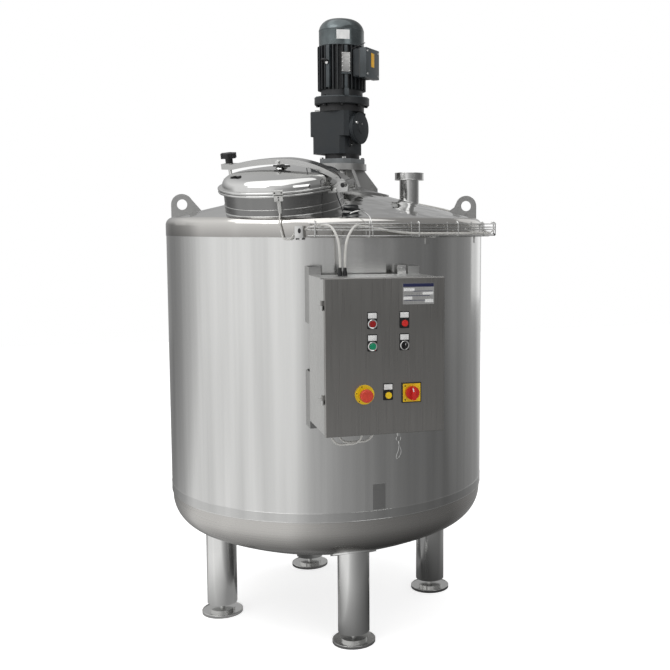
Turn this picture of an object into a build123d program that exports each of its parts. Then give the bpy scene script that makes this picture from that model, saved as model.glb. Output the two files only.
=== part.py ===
from build123d import *
from math import asin, cos, radians, sin, sqrt, tan
import os

# Insulated mixing tank with a conical top, a swing-arm manway, a top-mounted
# geared agitator and a control box. Millimetres, +Z up, origin on the tank's
# axis at floor level, the front leg and the control box towards -Y.

# Tank body
cladding_radius = 600
cladding_wall = 3
cladding_top = 1457.5
jacket = 50
vessel_wall = 4
fit = 0.4
lap = 20

# Lower dish: crown and knuckle radii of the outer and the inner head
dish_crown = 1200
dish_knuckle = 120
dish_wall = 3
dish_tangent = 480
dish_skirt = 49
inner_crown = 1100
inner_knuckle = 110

# Conical top
cone_slope = 13.8
cone_wall = 4
rim_rise = 61.2
band_proud = 1.5
knuckle_radius = 30

# Bottom outlet
outlet_radius = 26.5
outlet_bore = 25
outlet_below = 33
ferrule_radius = 32
ferrule_height = 7

# Legs and feet
leg_inset = 177
leg_radius = 57
leg_wall = 4
leg_bottom = 41
leg_plate = 8
leg_pad_radius = 82
leg_pad = 5
foot_radius = 77.5
foot_thickness = 9
foot_step_radius = 48
foot_step = 9
spindle_radius = 10
leg_angles = {"front": 0, "right": 90, "rear": 180, "left": -90}

# Lifting lugs, on a line through the axis
lug_line = 78.3
lug_inset = 54
lug_hole_radius = 20
lug_eye = 40
lug_rise = 41
lug_spread = 72
lug_flare = 7
lug_thickness = 12

# Manway: its local frame stands on the cone, with x along the cover arm
manway_angle = -33.9
manway_inset = 219
manway_tilt = 11.8
arm_angle = -46
neck_radius = 205
neck_wall = 3
neck_below = 22
neck_top = 65.5
flange_lip = 16
flange_thickness = 8
collar_height = 14
collar_wall = 1
gasket = 1.5
lid_rim = 8
lid_lip = 0.5
lid_wall = 3
rim_flat = 13.5
dome_knuckle = 36
dome_crown = 1200

# Cover arm, its hinge and the clamp
arm_above_rim = 60
arm_rise = 24
arm_depth = 19
arm_width = 36
arm_flat = 25
arm_crown_x = 30
arm_shoulder = 39
arm_slope = 0.5
clamp_out = 4.5
arm_overhang = 24
hinge_out = 47.5
hinge_rise = 11.8
knuckle_eye = 14
hinge_pin_radius = 7
pin_clearance = 0.3
ear_thickness = 8
ear_clearance = 1
ear_end = 16
ear_drop = 20
boss_radius = 13
bolt_radius = 6
foot_pin_radius = 6
foot_pin_length = 44
foot_pin_rise = 15.9
foot_pin_gap = 2
fork_slot = 24
fork_thickness = 8
fork_drop = 30
knob_radius = 29
knob_lobes = 6
lobe_radius = 8
knob_height = 18
knob_hub_radius = 13
knob_hub = 17
knob_bore_depth = 26
knob_gap = 0.5
arm_boss_radius = 14
arm_boss = 2

# Lid switch, at the rim towards the viewer
switch_turn = -58
switch_width = 32
switch_depth = 15
magnet_height = 14
sensor_height = 18
switch_gap = 1

# Nozzle on the cone
nozzle_inset = 278
nozzle_radius = 38
nozzle_wall = 3
nozzle_height = 113
union_radius = 56
union_height = 29

# Drive: stand, geared motor and shaft
drive_x = 64
drive_y = 0
pad_radius = 180
pad_thickness = 6
gusset_turn = 12.3
gusset_thickness = 12
gusset_reach = 150
gusset_drop = 67
stand_radius = 93
stand_rise = 41
stand_thickness = 24
mount_plate = 142
mount_plate_chamfer = 22
mount_plate_thickness = 19
collar_radius = 66
collar_thickness = 18
gear_turn = -45
gear_length = 175
gear_width = 150
gear_shift = -18
gear_lower = 67
gear_upper = 93
gear_step_near = 20
gear_step_far = 12
gear_chamfer = 15
cover_radius = 60
cover_proud = 14
cover_z = 31
adapter_radius = 85
adapter_height = 26
motor_flange_radius = 105
motor_flange_thickness = 29
shield_height = 26
shield_radius = 80
motor_radius = 76
fin_reach = 16
fin_thickness = 4
fin_count = 32
motor_height = 163
fan_radius = 86
fan_side = 61
fan_top_radius = 46
fan_dome = 47
terminal_turn = 48
terminal_width = 100
terminal_height = 106
terminal_reach = 134
terminal_lift = 98
shaft_radius = 20
shaft_clearance = 4
shaft_seal_radius = 36
shaft_seal_height = 34
shaft_lift = 291
hub_radius = 36
hub_height = 90
blade_reach = 190
blade_width = 70
blade_thickness = 8
blade_pitch = 45
blade_count = 3

# Control box
box_shift = -6
box_width = 372
box_height = 476
box_wall = 2
box_gap = 40
box_depth = 240
box_drop = 119.5
door_overlap = 2
door_thickness = 20
door_clearance = 0.5
hinge_offset = 6
knuckle_radius_box = 4
knuckle_length = 30
leaf_length = 40
bracket_width = 40
bracket_thickness = 4
bracket_rise = 26

# Panel fittings, each placed from the middle of the box's width and down from its top
lamp_at = (-43, 137)
stop_at = (58, 137)
start_at = (-43, 205)
selector_at = (58, 205)
estop_at = (-68, 352)
reset_at = (6, 357)
switch_at = (80, 352)
nameplate_at = (103, 48)
nameplate_size = (100, 64)
button_hole = 13
bezel_radius = 14.5
bezel_height = 6
bezel_bore = 10.6
cap_radius = 10
cap_proud = 4
press = 3
legend_width = 31
legend_height = 52
legend_thickness = 1.5
contact_size = 22
contact_depth = 38
estop_plate_radius = 30
estop_plate_thickness = 3
estop_neck_radius = 13
estop_neck = 14
mushroom_radius = 20
mushroom_height = 16
mushroom_stem = 8
estop_press = 5
switch_plate_size = 58
switch_plate_thickness = 5
switch_knob_radius = 21
switch_knob_height = 14
switch_grip = 15
switch_grip_width = 12

# Cable tray round the rim, its junction box and the cables
tray_wire = 4
tray_gap = 6.5
tray_width = 47
tray_lift = 3.5
tray_height = 44
tray_start = -17
tray_end = 100
tray_pitch = 15.6
tray_bracket = 30
tray_brackets = 4
tray_lead = 2
bracket_lead = 10
junction_angle = -19.8
junction_width = 30
junction_height = 40
junction_depth = 30
junction_drop = 6
junction_gap = 4
cable_radius = 4
sensor_cable_radius = 2.5
loop_radius = 3.5
loop_bend = 32
loop_drop = 37
sensor_bend = 12
gland_places = (-100, -84)
gland_depth = 75
gland_radius = 7.5
gland_height = 14

BASE = (Align.CENTER, Align.CENTER, Align.MIN)

os.makedirs("parts", exist_ok=True)


def save(piece, label):
    piece.label = label
    export_step(piece, f"parts/{label}.step")


def polar(radius, azimuth, height=0):
    """A point at an angle from the front (-Y) towards +X."""
    turn = radians(azimuth)
    return Vector(radius * sin(turn), -radius * cos(turn), height)


def cone_z(radius):
    """Height of the cone's outer face at a radius."""
    return cone_rim_z + (cladding_radius - radius) * tan(radians(cone_slope))


def radial_plane(azimuth):
    """Upright plane through the axis: local x outwards, local y up."""
    out = polar(1, azimuth)
    return Plane(origin=(0, 0, 0), x_dir=out, z_dir=out.cross(Vector(0, 0, 1)))


# Places that follow from the sizes above
band_radius = cladding_radius + band_proud
cone_rim_z = cladding_top + rim_rise
seam_z = dish_tangent + dish_skirt
leg_circle = cladding_radius - leg_inset
lug_circle = cladding_radius - lug_inset
lug_inner = lug_circle - lug_spread
lug_hole_z = cone_z(lug_circle) + lug_rise
manway_circle = cladding_radius - manway_inset
flange_radius = neck_radius + flange_lip
lid_radius = flange_radius + lid_lip
nozzle_circle = cladding_radius - nozzle_inset
nozzle_top = cone_z(nozzle_circle) + nozzle_height
stand_z = cone_z(0) + stand_rise
box_back = cladding_radius + box_gap
box_front = box_back + box_depth
box_top = cladding_top - box_drop
box_bottom = box_top - box_height
tray_inner = band_radius + tray_gap
tray_outer = tray_inner + tray_width
tray_bottom = cladding_top + tray_lift
box_spots = [(box_shift + x, -box_back - gland_depth) for x in gland_places]


def side_plane(frame, offset=0):
    """The plane through a frame's x and z directions, as local x and y."""
    return Plane(origin=frame.origin - frame.y_dir * offset, x_dir=frame.x_dir, z_dir=-frame.y_dir)


def filled_cup(radius, crown, knuckle, tangent, top):
    """Solid of revolution below a torispherical head and a straight skirt."""
    rise = sqrt((crown - knuckle) ** 2 - (radius - knuckle) ** 2)
    turn = asin((radius - knuckle) / (crown - knuckle))
    centre = tangent + rise
    with BuildPart() as cup:
        with BuildSketch(Plane.XZ):
            with BuildLine():
                l1 = ThreePointArc(
                    (0, centre - crown),
                    (crown * sin(turn / 2), centre - crown * cos(turn / 2)),
                    (crown * sin(turn), centre - crown * cos(turn)),
                )
                middle = (turn + radians(90)) / 2
                l2 = ThreePointArc(
                    l1 @ 1,
                    (radius - knuckle + knuckle * sin(middle), tangent - knuckle * cos(middle)),
                    (radius, tangent),
                )
                Polyline(l2 @ 1, (radius, top), (0, top), l1 @ 0)
            make_face()
        revolve(axis=Axis.Z)
    return cup.part


def tube_along(points, radii, radius):
    """A round cable through straight runs and tangent arcs."""
    with BuildPart() as tube:
        with BuildLine() as path:
            FilletPolyline(*points, radius=radii)
        with BuildSketch(Plane(origin=path.line @ 0, z_dir=path.line % 0)):
            Circle(radius)
        sweep(path=path.line)
    return tube.part


def bend_radii(points):
    """The largest arc at each corner that its two runs leave room for."""
    radii = []
    for before, corner, after in zip(points, points[1:], points[2:]):
        run_in = corner - before
        run_out = after - corner
        turn = radians(run_in.get_angle(run_out))
        radii.append(0.45 * min(run_in.length, run_out.length) / tan(turn / 2))
    return radii


def cable(points, radius):
    """A cable along a route, with its bend radii printed."""
    radii = bend_radii(points)
    print("bend radii", [round(bend) for bend in radii])
    return tube_along(points, radii, radius)


def under_cone(offset):
    """Everything below the cone's outer face raised by an offset."""
    with BuildPart() as below_cone:
        with BuildSketch(Plane.XZ):
            with BuildLine():
                Polyline(
                    (band_radius, cone_z(band_radius) + offset),
                    (0, cone_z(0) + offset),
                    (0, cladding_top),
                    (band_radius, cladding_top),
                    close=True,
                )
            make_face()
        revolve(axis=Axis.Z)
    return below_cone.part


# Outer and inner heads
outer_radius = cladding_radius - cladding_wall - fit
inner_radius = cladding_radius - jacket
inner_rise = sqrt((inner_crown - inner_knuckle) ** 2 - (inner_radius - inner_knuckle) ** 2)
outer_rise = sqrt((dish_crown - dish_knuckle) ** 2 - (outer_radius - dish_knuckle) ** 2)
dish_bottom = dish_tangent + outer_rise - dish_crown
inner_bottom = dish_bottom + jacket
outlet_end = dish_bottom - outlet_below
shaft_bottom = inner_bottom + shaft_lift
inner_tangent = inner_bottom - inner_rise + inner_crown
skirt_top = seam_z + lap

dish_outside = filled_cup(outer_radius, dish_crown, dish_knuckle, dish_tangent, skirt_top)
dish_inside = filled_cup(
    outer_radius - dish_wall, dish_crown - dish_wall, dish_knuckle - dish_wall, dish_tangent, skirt_top
)
head_outside = filled_cup(inner_radius, inner_crown, inner_knuckle, inner_tangent, inner_tangent + lap)
head_inside = filled_cup(
    inner_radius - vessel_wall, inner_crown - vessel_wall, inner_knuckle - vessel_wall, inner_tangent,
    inner_tangent + lap,
)
jacket_outside = filled_cup(
    outer_radius - dish_wall - fit, dish_crown - dish_wall - fit, dish_knuckle - dish_wall - fit,
    dish_tangent, cladding_top,
)
jacket_inside = filled_cup(
    inner_radius + fit, inner_crown + fit, inner_knuckle + fit, inner_tangent, cladding_top
)
leg_pad_outside = filled_cup(
    outer_radius + leg_pad, dish_crown + leg_pad, dish_knuckle + leg_pad, dish_tangent, skirt_top
)

with BuildPart() as cladding:
    with Locations((0, 0, seam_z)):
        Cylinder(cladding_radius, cladding_top - seam_z, align=BASE)
        Cylinder(cladding_radius - cladding_wall, cladding_top - seam_z, align=BASE, mode=Mode.SUBTRACT)
save(cladding.part, "cladding")

with BuildPart() as bottom_dish:
    add(dish_outside)
    add(dish_inside, mode=Mode.SUBTRACT)
    Cylinder(outlet_radius, skirt_top, align=BASE, mode=Mode.SUBTRACT)
save(bottom_dish.part, "bottom_dish")

with BuildPart() as inner_dish:
    add(head_outside)
    add(head_inside, mode=Mode.SUBTRACT)
    Cylinder(outlet_radius, skirt_top, align=BASE, mode=Mode.SUBTRACT)
save(inner_dish.part, "inner_dish")

with BuildPart() as insulation:
    add(jacket_outside)
    add(jacket_inside, mode=Mode.SUBTRACT)
    Cylinder(outlet_radius + fit, skirt_top, align=BASE, mode=Mode.SUBTRACT)
save(insulation.part, "insulation")

with BuildPart() as outlet_pipe:
    with Locations((0, 0, outlet_end)):
        Cylinder(outlet_radius, inner_bottom + vessel_wall - outlet_end, align=BASE)
        Cylinder(ferrule_radius, ferrule_height, align=BASE)
        Cylinder(outlet_bore, inner_bottom + vessel_wall - outlet_end, align=BASE, mode=Mode.SUBTRACT)
save(outlet_pipe.part, "outlet_pipe")

# Manway frame, standing on the cone
manway_centre = polar(manway_circle, manway_angle, cone_z(manway_circle))
lean_out = polar(1, manway_angle)
manway_up = lean_out * sin(radians(manway_tilt)) + Vector(0, 0, cos(radians(manway_tilt)))
arm_along = Vector(cos(radians(arm_angle)), sin(radians(arm_angle)), 0)
arm_along = (arm_along - manway_up * arm_along.dot(manway_up)).normalized()
manway = Plane(origin=manway_centre, x_dir=arm_along, z_dir=manway_up)
manway_side = side_plane(manway)
manway_axis = Axis(manway.origin, manway.z_dir)
drive = Vector(drive_x, drive_y, 0)
nozzle_foot = polar(nozzle_circle, lug_line)

# Top band: a straight ring that turns over into the cone, notched for the neck
lean = radians(cone_slope)
band_centre_r = band_radius - knuckle_radius
band_centre_z = cone_z(band_centre_r) - knuckle_radius / cos(lean)
weld_r = band_centre_r + knuckle_radius * sin(lean)
cone_drop = cone_wall / cos(lean)


def knuckle_point(radius, turn):
    """A point on the top band's rounded edge; turn 0 is level, outwards."""
    return (band_centre_r + radius * cos(turn), band_centre_z + radius * sin(turn))


with BuildPart() as top_band:
    with BuildSketch(Plane.XZ):
        with BuildLine():
            end_turn = radians(90) - lean
            inner_edge = knuckle_radius - cone_wall
            Line((band_radius, cladding_top), knuckle_point(knuckle_radius, 0))
            ThreePointArc(
                knuckle_point(knuckle_radius, 0),
                knuckle_point(knuckle_radius, end_turn / 2),
                knuckle_point(knuckle_radius, end_turn),
            )
            Line(knuckle_point(knuckle_radius, end_turn), knuckle_point(inner_edge, end_turn))
            ThreePointArc(
                knuckle_point(inner_edge, end_turn),
                knuckle_point(inner_edge, end_turn / 2),
                knuckle_point(inner_edge, 0),
            )
            Polyline(
                knuckle_point(inner_edge, 0),
                (band_radius - cone_wall, cladding_top),
                (band_radius, cladding_top),
            )
        make_face()
    revolve(axis=Axis.Z)
    with Locations(manway.offset(-neck_radius)):
        Cylinder(neck_radius, 2 * neck_radius, align=BASE, mode=Mode.SUBTRACT)
save(top_band.part, "top_band")

with BuildPart() as top_cone:
    with BuildSketch(Plane.XZ):
        with BuildLine():
            Polyline(
                (weld_r, cone_z(weld_r)),
                (0, cone_z(0)),
                (0, cone_z(0) - cone_drop),
                (weld_r - cone_wall * sin(lean), cone_z(weld_r) - cone_wall * cos(lean)),
                close=True,
            )
        make_face()
    revolve(axis=Axis.Z)
    with Locations(manway.offset(-neck_radius)):
        Cylinder(neck_radius, 2 * neck_radius, align=BASE, mode=Mode.SUBTRACT)
    with Locations(drive):
        Cylinder(shaft_seal_radius, 2 * stand_z, align=BASE, mode=Mode.SUBTRACT)
    with Locations(nozzle_foot):
        Cylinder(nozzle_radius, 2 * stand_z, align=BASE, mode=Mode.SUBTRACT)
save(top_cone.part, "top_cone")

# The inner wall ends under the cone
with BuildPart() as inner_wall:
    with BuildSketch(Plane.XZ):
        with BuildLine():
            Polyline(
                (inner_radius, inner_tangent + lap),
                (inner_radius, cone_z(inner_radius) - cone_drop),
                (inner_radius - vessel_wall, cone_z(inner_radius - vessel_wall) - cone_drop),
                (inner_radius - vessel_wall, inner_tangent + lap),
                close=True,
            )
        make_face()
    revolve(axis=Axis.Z)
    with Locations(manway.offset(-neck_below - fit)):
        Cylinder(neck_radius + fit, neck_radius, align=BASE, mode=Mode.SUBTRACT)
save(inner_wall.part, "inner_wall")

# Legs, each a capped tube with a pad against the dish, on adjustable feet
for side, azimuth in leg_angles.items():
    spot = polar(leg_circle, azimuth)
    with BuildPart() as pad:
        with Locations(spot):
            Cylinder(leg_pad_radius, skirt_top, align=BASE)
        add(leg_pad_outside, mode=Mode.INTERSECT)
        add(dish_outside, mode=Mode.SUBTRACT)
    with BuildPart() as leg:
        with Locations(spot + Vector(0, 0, leg_bottom)):
            Cylinder(leg_radius, dish_tangent - leg_bottom, align=BASE)
        with Locations(spot + Vector(0, 0, leg_bottom + leg_plate)):
            Cylinder(leg_radius - leg_wall, dish_tangent - leg_bottom, align=BASE, mode=Mode.SUBTRACT)
        add(pad.part)
        add(dish_outside, mode=Mode.SUBTRACT)
    save(leg.part, f"leg_{side}")

with BuildPart() as feet:
    for azimuth in leg_angles.values():
        with Locations(polar(leg_circle, azimuth)):
            Cylinder(foot_radius, foot_thickness, align=BASE)
            Cylinder(foot_step_radius, foot_thickness + foot_step, align=BASE)
            Cylinder(spindle_radius, leg_bottom, align=BASE)
save(feet.part, "feet")

# Lifting lugs stand on the cone, in the upright plane through the axis
outer_edge = lug_circle + lug_eye
edge_foot = band_centre_z + sqrt(knuckle_radius ** 2 - (outer_edge - band_centre_r) ** 2)
with BuildPart() as lifting_lugs:
    for azimuth, flare in ((lug_line, lug_flare), (lug_line - 180, 0)):
        with BuildSketch(radial_plane(azimuth)):
            with BuildLine():
                eye = ThreePointArc(
                    (outer_edge, lug_hole_z),
                    (lug_circle, lug_hole_z + lug_eye),
                    (lug_circle - lug_eye * cos(radians(30)), lug_hole_z + lug_eye * sin(radians(30))),
                )
                foot = Vector(lug_inner, cone_z(lug_inner))
                Polyline(
                    eye @ 1,
                    (eye @ 1 + foot) / 2 + Vector(flare, -flare / 2),
                    foot,
                    (weld_r, cone_z(weld_r)),
                    (outer_edge, edge_foot),
                    eye @ 0,
                )
            make_face()
            with Locations((lug_circle, lug_hole_z)):
                Circle(lug_hole_radius, mode=Mode.SUBTRACT)
        extrude(amount=lug_thickness / 2, both=True)
save(lifting_lugs.part, "lifting_lugs")

# Manway neck: a short tube through the cone with a base collar and a flange
solid_cone = under_cone(0)
with BuildPart() as neck_collar:
    with Locations(manway.offset(-neck_below)):
        Cylinder(neck_radius + collar_wall, neck_below + collar_height, align=BASE)
    add(solid_cone, mode=Mode.SUBTRACT)

with BuildPart() as manway_neck:
    with Locations(manway.offset(-neck_below)):
        Cylinder(neck_radius, neck_below + neck_top, align=BASE)
    add(neck_collar.part)
    with Locations(manway.offset(neck_top - flange_thickness)):
        Cylinder(flange_radius, flange_thickness, align=BASE)
    with Locations(manway.offset(-2 * neck_below)):
        Cylinder(neck_radius - neck_wall, 4 * neck_top, align=BASE, mode=Mode.SUBTRACT)
save(manway_neck.part, "manway_neck")

# Domed cover with a flat rim, a knuckle and a shallow crown
lid_base = neck_top + gasket
rim_top = lid_base + lid_rim
dome_base = lid_radius - rim_flat


def dome(inset):
    """Knuckle centre, crown centre height, radii and join angle of the cover, drawn in by an inset."""
    knuckle = dome_knuckle - inset
    crown = dome_crown - inset
    centre_r = dome_base - dome_knuckle
    turn = asin(centre_r / (crown - knuckle))
    centre_z = rim_top - sqrt((crown - knuckle) ** 2 - centre_r ** 2)
    return centre_r, centre_z, knuckle, crown, turn


def dome_arcs(inset, low):
    """Profile edges of the cover from a height below its rim up to its top."""
    centre_r, centre_z, knuckle, crown, turn = dome(inset)
    middle = (turn + radians(90)) / 2
    Line((centre_r + knuckle, low), (centre_r + knuckle, rim_top))
    ThreePointArc(
        (centre_r + knuckle, rim_top),
        (centre_r + knuckle * sin(middle), rim_top + knuckle * cos(middle)),
        (crown * sin(turn), centre_z + crown * cos(turn)),
    )
    ThreePointArc(
        (crown * sin(turn), centre_z + crown * cos(turn)),
        (crown * sin(turn / 2), centre_z + crown * cos(turn / 2)),
        (0, centre_z + crown),
    )


dome_top = dome(0)[1] + dome_crown
with BuildPart() as manway_lid:
    with BuildSketch(manway_side):
        with BuildLine():
            dome_arcs(0, lid_base)
            Polyline((dome_base, lid_base), (0, lid_base), (0, dome_top))
        make_face()
    revolve(axis=manway_axis)
    with BuildSketch(manway_side):
        with Locations((lid_radius / 2, lid_base + lid_rim / 2)):
            Rectangle(lid_radius, lid_rim)
    revolve(axis=manway_axis)
    with BuildSketch(manway_side):
        with BuildLine():
            dome_arcs(lid_wall, lid_base)
            Polyline((dome_base - lid_wall, lid_base), (0, lid_base), (0, dome_top - lid_wall))
        make_face()
    revolve(axis=manway_axis, mode=Mode.SUBTRACT)
save(manway_lid.part, "manway_lid")

# Cover arm: an arched flat bar on a stud at the cover's crown
clamp_x = -lid_radius - clamp_out
arm_left = clamp_x - arm_overhang
hinge_x = lid_radius + hinge_out
pivot_z = neck_top + hinge_rise
arm_z = rim_top + arm_above_rim
arm_crown = arm_z + arm_rise
knob_foot = arm_z + arm_boss + knob_gap
shoulder_x = hinge_x - arm_shoulder
shoulder_z = pivot_z + knuckle_eye + arm_shoulder * arm_slope
clamp = Plane(origin=manway.from_local_coords((clamp_x, 0, 0)), x_dir=manway.x_dir, z_dir=manway.z_dir)


def arm_edge(drop):
    """The arm's upper edge, or its lower one at a depth below."""
    kink_x = clamp_x + arm_flat
    top = arm_crown - drop
    Line((arm_left, arm_z - drop), (kink_x, arm_z - drop))
    ThreePointArc(
        (kink_x, arm_z - drop),
        ((kink_x + arm_crown_x) / 2, arm_z - drop + arm_rise * 0.72),
        (arm_crown_x, top),
    )
    ThreePointArc(
        (arm_crown_x, top),
        ((arm_crown_x + shoulder_x) / 2, top - (arm_crown - shoulder_z) * 0.26),
        (shoulder_x, shoulder_z - drop),
    )


with BuildPart() as lid_arm:
    with BuildSketch(manway_side):
        with BuildLine():
            arm_edge(0)
            Line((shoulder_x, shoulder_z), (hinge_x, pivot_z + knuckle_eye))
            Line((hinge_x, pivot_z + knuckle_eye), (hinge_x, pivot_z - knuckle_eye))
            Line((hinge_x, pivot_z - knuckle_eye), (shoulder_x, shoulder_z - arm_depth))
            arm_edge(arm_depth)
            Line((arm_left, arm_z - arm_depth), (arm_left, arm_z))
        make_face()
        with Locations((hinge_x, pivot_z)):
            Circle(knuckle_eye)
    extrude(amount=arm_width / 2, both=True)
    with BuildSketch(manway_side):
        with Locations((hinge_x, pivot_z)):
            Circle(hinge_pin_radius)
    extrude(amount=arm_width / 2 + ear_clearance + ear_thickness + hinge_pin_radius, both=True)
    with Locations(manway.offset(dome_top)):
        Cylinder(boss_radius, arm_crown - arm_depth / 2 - dome_top, align=BASE)
    with Locations(clamp.offset(arm_z - arm_depth)):
        Cylinder(arm_boss_radius, arm_depth + arm_boss, align=BASE)
save(lid_arm.part, "lid_arm")

# Clamp bolt below the arm, with a foot pin, and its thread above the arm
foot_pin_z = neck_top + foot_pin_rise
with BuildPart() as clamp_bolt:
    with Locations(clamp.offset(foot_pin_z)):
        Cylinder(bolt_radius, arm_z - arm_depth - foot_pin_z, align=BASE)
    with Locations(clamp.offset(foot_pin_z) * Location((0, 0, 0), (90, 0, 0))):
        Cylinder(foot_pin_radius, foot_pin_length)
    with Locations(clamp.offset(arm_z + arm_boss)):
        Cylinder(bolt_radius, knob_bore_depth, align=BASE)
save(clamp_bolt.part, "clamp_bolt")

# Star knob with a hub
with BuildPart() as clamp_knob:
    with BuildSketch(clamp.offset(knob_foot + knob_hub)):
        Circle(knob_radius - lobe_radius / 2)
        with PolarLocations(knob_radius - lobe_radius, knob_lobes):
            Circle(lobe_radius)
    extrude(amount=knob_height)
    with Locations(clamp.offset(knob_foot)):
        Cylinder(knob_hub_radius, knob_hub, align=BASE)
        Cylinder(bolt_radius + pin_clearance, knob_bore_depth + 1, align=BASE, mode=Mode.SUBTRACT)
save(clamp_knob.part, "clamp_knob")

# Fork on the neck that the clamp bolt's foot pin drops into
under_flange = neck_top - flange_thickness - 2
seat_z = foot_pin_z - foot_pin_radius - foot_pin_gap
seat_x = clamp_x - fork_slot / 2
with BuildPart() as clamp_fork:
    for sign in (1, -1):
        with BuildSketch(side_plane(manway, sign * (bolt_radius + 3 + fork_thickness / 2))):
            with BuildLine():
                Polyline(
                    (-neck_radius + 8, neck_top - fork_drop),
                    (-neck_radius + 8, under_flange),
                    (-flange_radius - 7, under_flange),
                    (-flange_radius - 7, seat_z),
                    (seat_x, seat_z),
                    (seat_x, foot_pin_z + foot_pin_gap),
                    (seat_x - 8, foot_pin_z + foot_pin_gap),
                    (seat_x - 8, under_flange - 8),
                    close=True,
                )
            make_face()
        extrude(amount=fork_thickness / 2, both=True)
    with Locations(manway.offset(-neck_below)):
        Cylinder(neck_radius, 2 * neck_top, align=BASE, mode=Mode.SUBTRACT)
save(clamp_fork.part, "clamp_fork")

# Hinge ears on the neck
with BuildPart() as hinge_ears:
    for sign in (1, -1):
        ear_middle = sign * (arm_width / 2 + ear_clearance + ear_thickness / 2)
        with BuildSketch(side_plane(manway, ear_middle)):
            with BuildLine():
                Polyline(
                    (neck_radius - 8, neck_top - ear_drop),
                    (neck_radius - 8, under_flange),
                    (lid_radius + 4, under_flange),
                    (lid_radius + 8, rim_top),
                    (hinge_x - knuckle_eye, pivot_z + knuckle_eye - 2),
                    (hinge_x + 4, pivot_z + knuckle_eye),
                    (hinge_x + ear_end, pivot_z),
                    (hinge_x + ear_end - 4, pivot_z - knuckle_eye - 8),
                    close=True,
                )
            make_face()
            with Locations((hinge_x, pivot_z)):
                Circle(hinge_pin_radius + pin_clearance, mode=Mode.SUBTRACT)
        extrude(amount=ear_thickness / 2, both=True)
    with Locations(manway.offset(-neck_below)):
        Cylinder(neck_radius, 2 * neck_top, align=BASE, mode=Mode.SUBTRACT)
save(hinge_ears.part, "hinge_ears")

# Lid switch: a magnet on the lid's rim over a sensor on the neck
turn = radians(switch_turn)
switch = Plane(
    origin=manway.origin, x_dir=manway.x_dir * cos(turn) + manway.y_dir * sin(turn), z_dir=manway.z_dir
)
with BuildPart() as lid_magnet:
    with Locations(switch.offset(lid_base + switch_gap) * Location((lid_radius - 2, 0, 0))):
        Box(switch_depth, switch_width, magnet_height, align=(Align.MIN, Align.CENTER, Align.MIN))
    with Locations(manway.offset(lid_base)):
        Cylinder(lid_radius, lid_rim, align=BASE, mode=Mode.SUBTRACT)
save(lid_magnet.part, "lid_magnet")

sensor_low = lid_base - sensor_height - 2 * switch_gap
with BuildPart() as lid_sensor:
    with Locations(switch.offset(sensor_low) * Location((neck_radius - 3, 0, 0))):
        Box(switch_depth + 18, switch_width - 4, sensor_height, align=(Align.MIN, Align.CENTER, Align.MIN))
    with Locations(manway.offset(-neck_below)):
        Cylinder(neck_radius, 2 * neck_top, align=BASE, mode=Mode.SUBTRACT)
    with Locations(manway.offset(neck_top - flange_thickness)):
        Cylinder(flange_radius, flange_thickness, align=BASE, mode=Mode.SUBTRACT)
save(lid_sensor.part, "lid_sensor")

# Nozzle with a union ring
with BuildPart() as nozzle_pipe:
    nozzle_low = cone_z(nozzle_circle + nozzle_radius) - cone_drop - 10
    with Locations(nozzle_foot + Vector(0, 0, nozzle_low)):
        Cylinder(nozzle_radius, nozzle_top - nozzle_low, align=BASE)
        Cylinder(nozzle_radius - nozzle_wall, nozzle_top - nozzle_low, align=BASE, mode=Mode.SUBTRACT)
save(nozzle_pipe.part, "nozzle_pipe")

with BuildPart() as nozzle_union:
    with Locations(nozzle_foot + Vector(0, 0, nozzle_top - union_height)):
        Cylinder(union_radius, union_height, align=BASE)
        Cylinder(nozzle_radius, union_height, align=BASE, mode=Mode.SUBTRACT)
    chamfer(nozzle_union.edges().filter_by(GeomType.CIRCLE).group_by(SortBy.RADIUS)[-1], 3)
save(nozzle_union.part, "nozzle_union")

# Drive stand: a pad on the cone, four gussets and a round plate
stand_top = stand_z + stand_thickness
raised_cone = under_cone(pad_thickness / cos(lean))
with BuildPart() as stand_pad:
    with Locations(drive):
        Cylinder(pad_radius, 2 * stand_z, align=BASE)
    add(raised_cone, mode=Mode.INTERSECT)

with BuildPart() as drive_stand:
    with Locations(drive + Vector(0, 0, stand_z)):
        Cylinder(stand_radius, stand_thickness, align=BASE)
    for quarter in range(4):
        out = polar(1, gusset_turn + 90 * quarter)
        with BuildSketch(Plane(origin=drive, x_dir=out, z_dir=out.cross(Vector(0, 0, 1)))):
            with BuildLine():
                Polyline(
                    (shaft_seal_radius + 6, stand_z + 1),
                    (stand_radius, stand_z + 1),
                    (stand_radius, stand_z),
                    (gusset_reach, stand_z - gusset_drop),
                    (gusset_reach, cone_z(gusset_reach + drive_x) - cone_wall),
                    (shaft_seal_radius + 6, cone_z(gusset_reach + drive_x) - cone_wall),
                    close=True,
                )
            make_face()
        extrude(amount=gusset_thickness / 2, both=True)
    add(stand_pad.part)
    add(solid_cone, mode=Mode.SUBTRACT)
    with Locations(drive + Vector(0, 0, cladding_top)):
        Cylinder(shaft_seal_radius, stand_z - cladding_top, align=BASE, mode=Mode.SUBTRACT)
        Cylinder(shaft_radius + shaft_clearance, 2 * stand_z, align=BASE, mode=Mode.SUBTRACT)
save(drive_stand.part, "drive_stand")

# Shaft seal in the cone
with BuildPart() as shaft_seal:
    seal_low = cone_z(drive_x + shaft_seal_radius) - cone_drop
    with Locations(drive + Vector(0, 0, seal_low)):
        Cylinder(shaft_seal_radius, cone_z(0) + shaft_seal_height - seal_low, align=BASE)
        Cylinder(shaft_radius + shaft_clearance, stand_z, align=BASE, mode=Mode.SUBTRACT)
save(shaft_seal.part, "shaft_seal")

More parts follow.
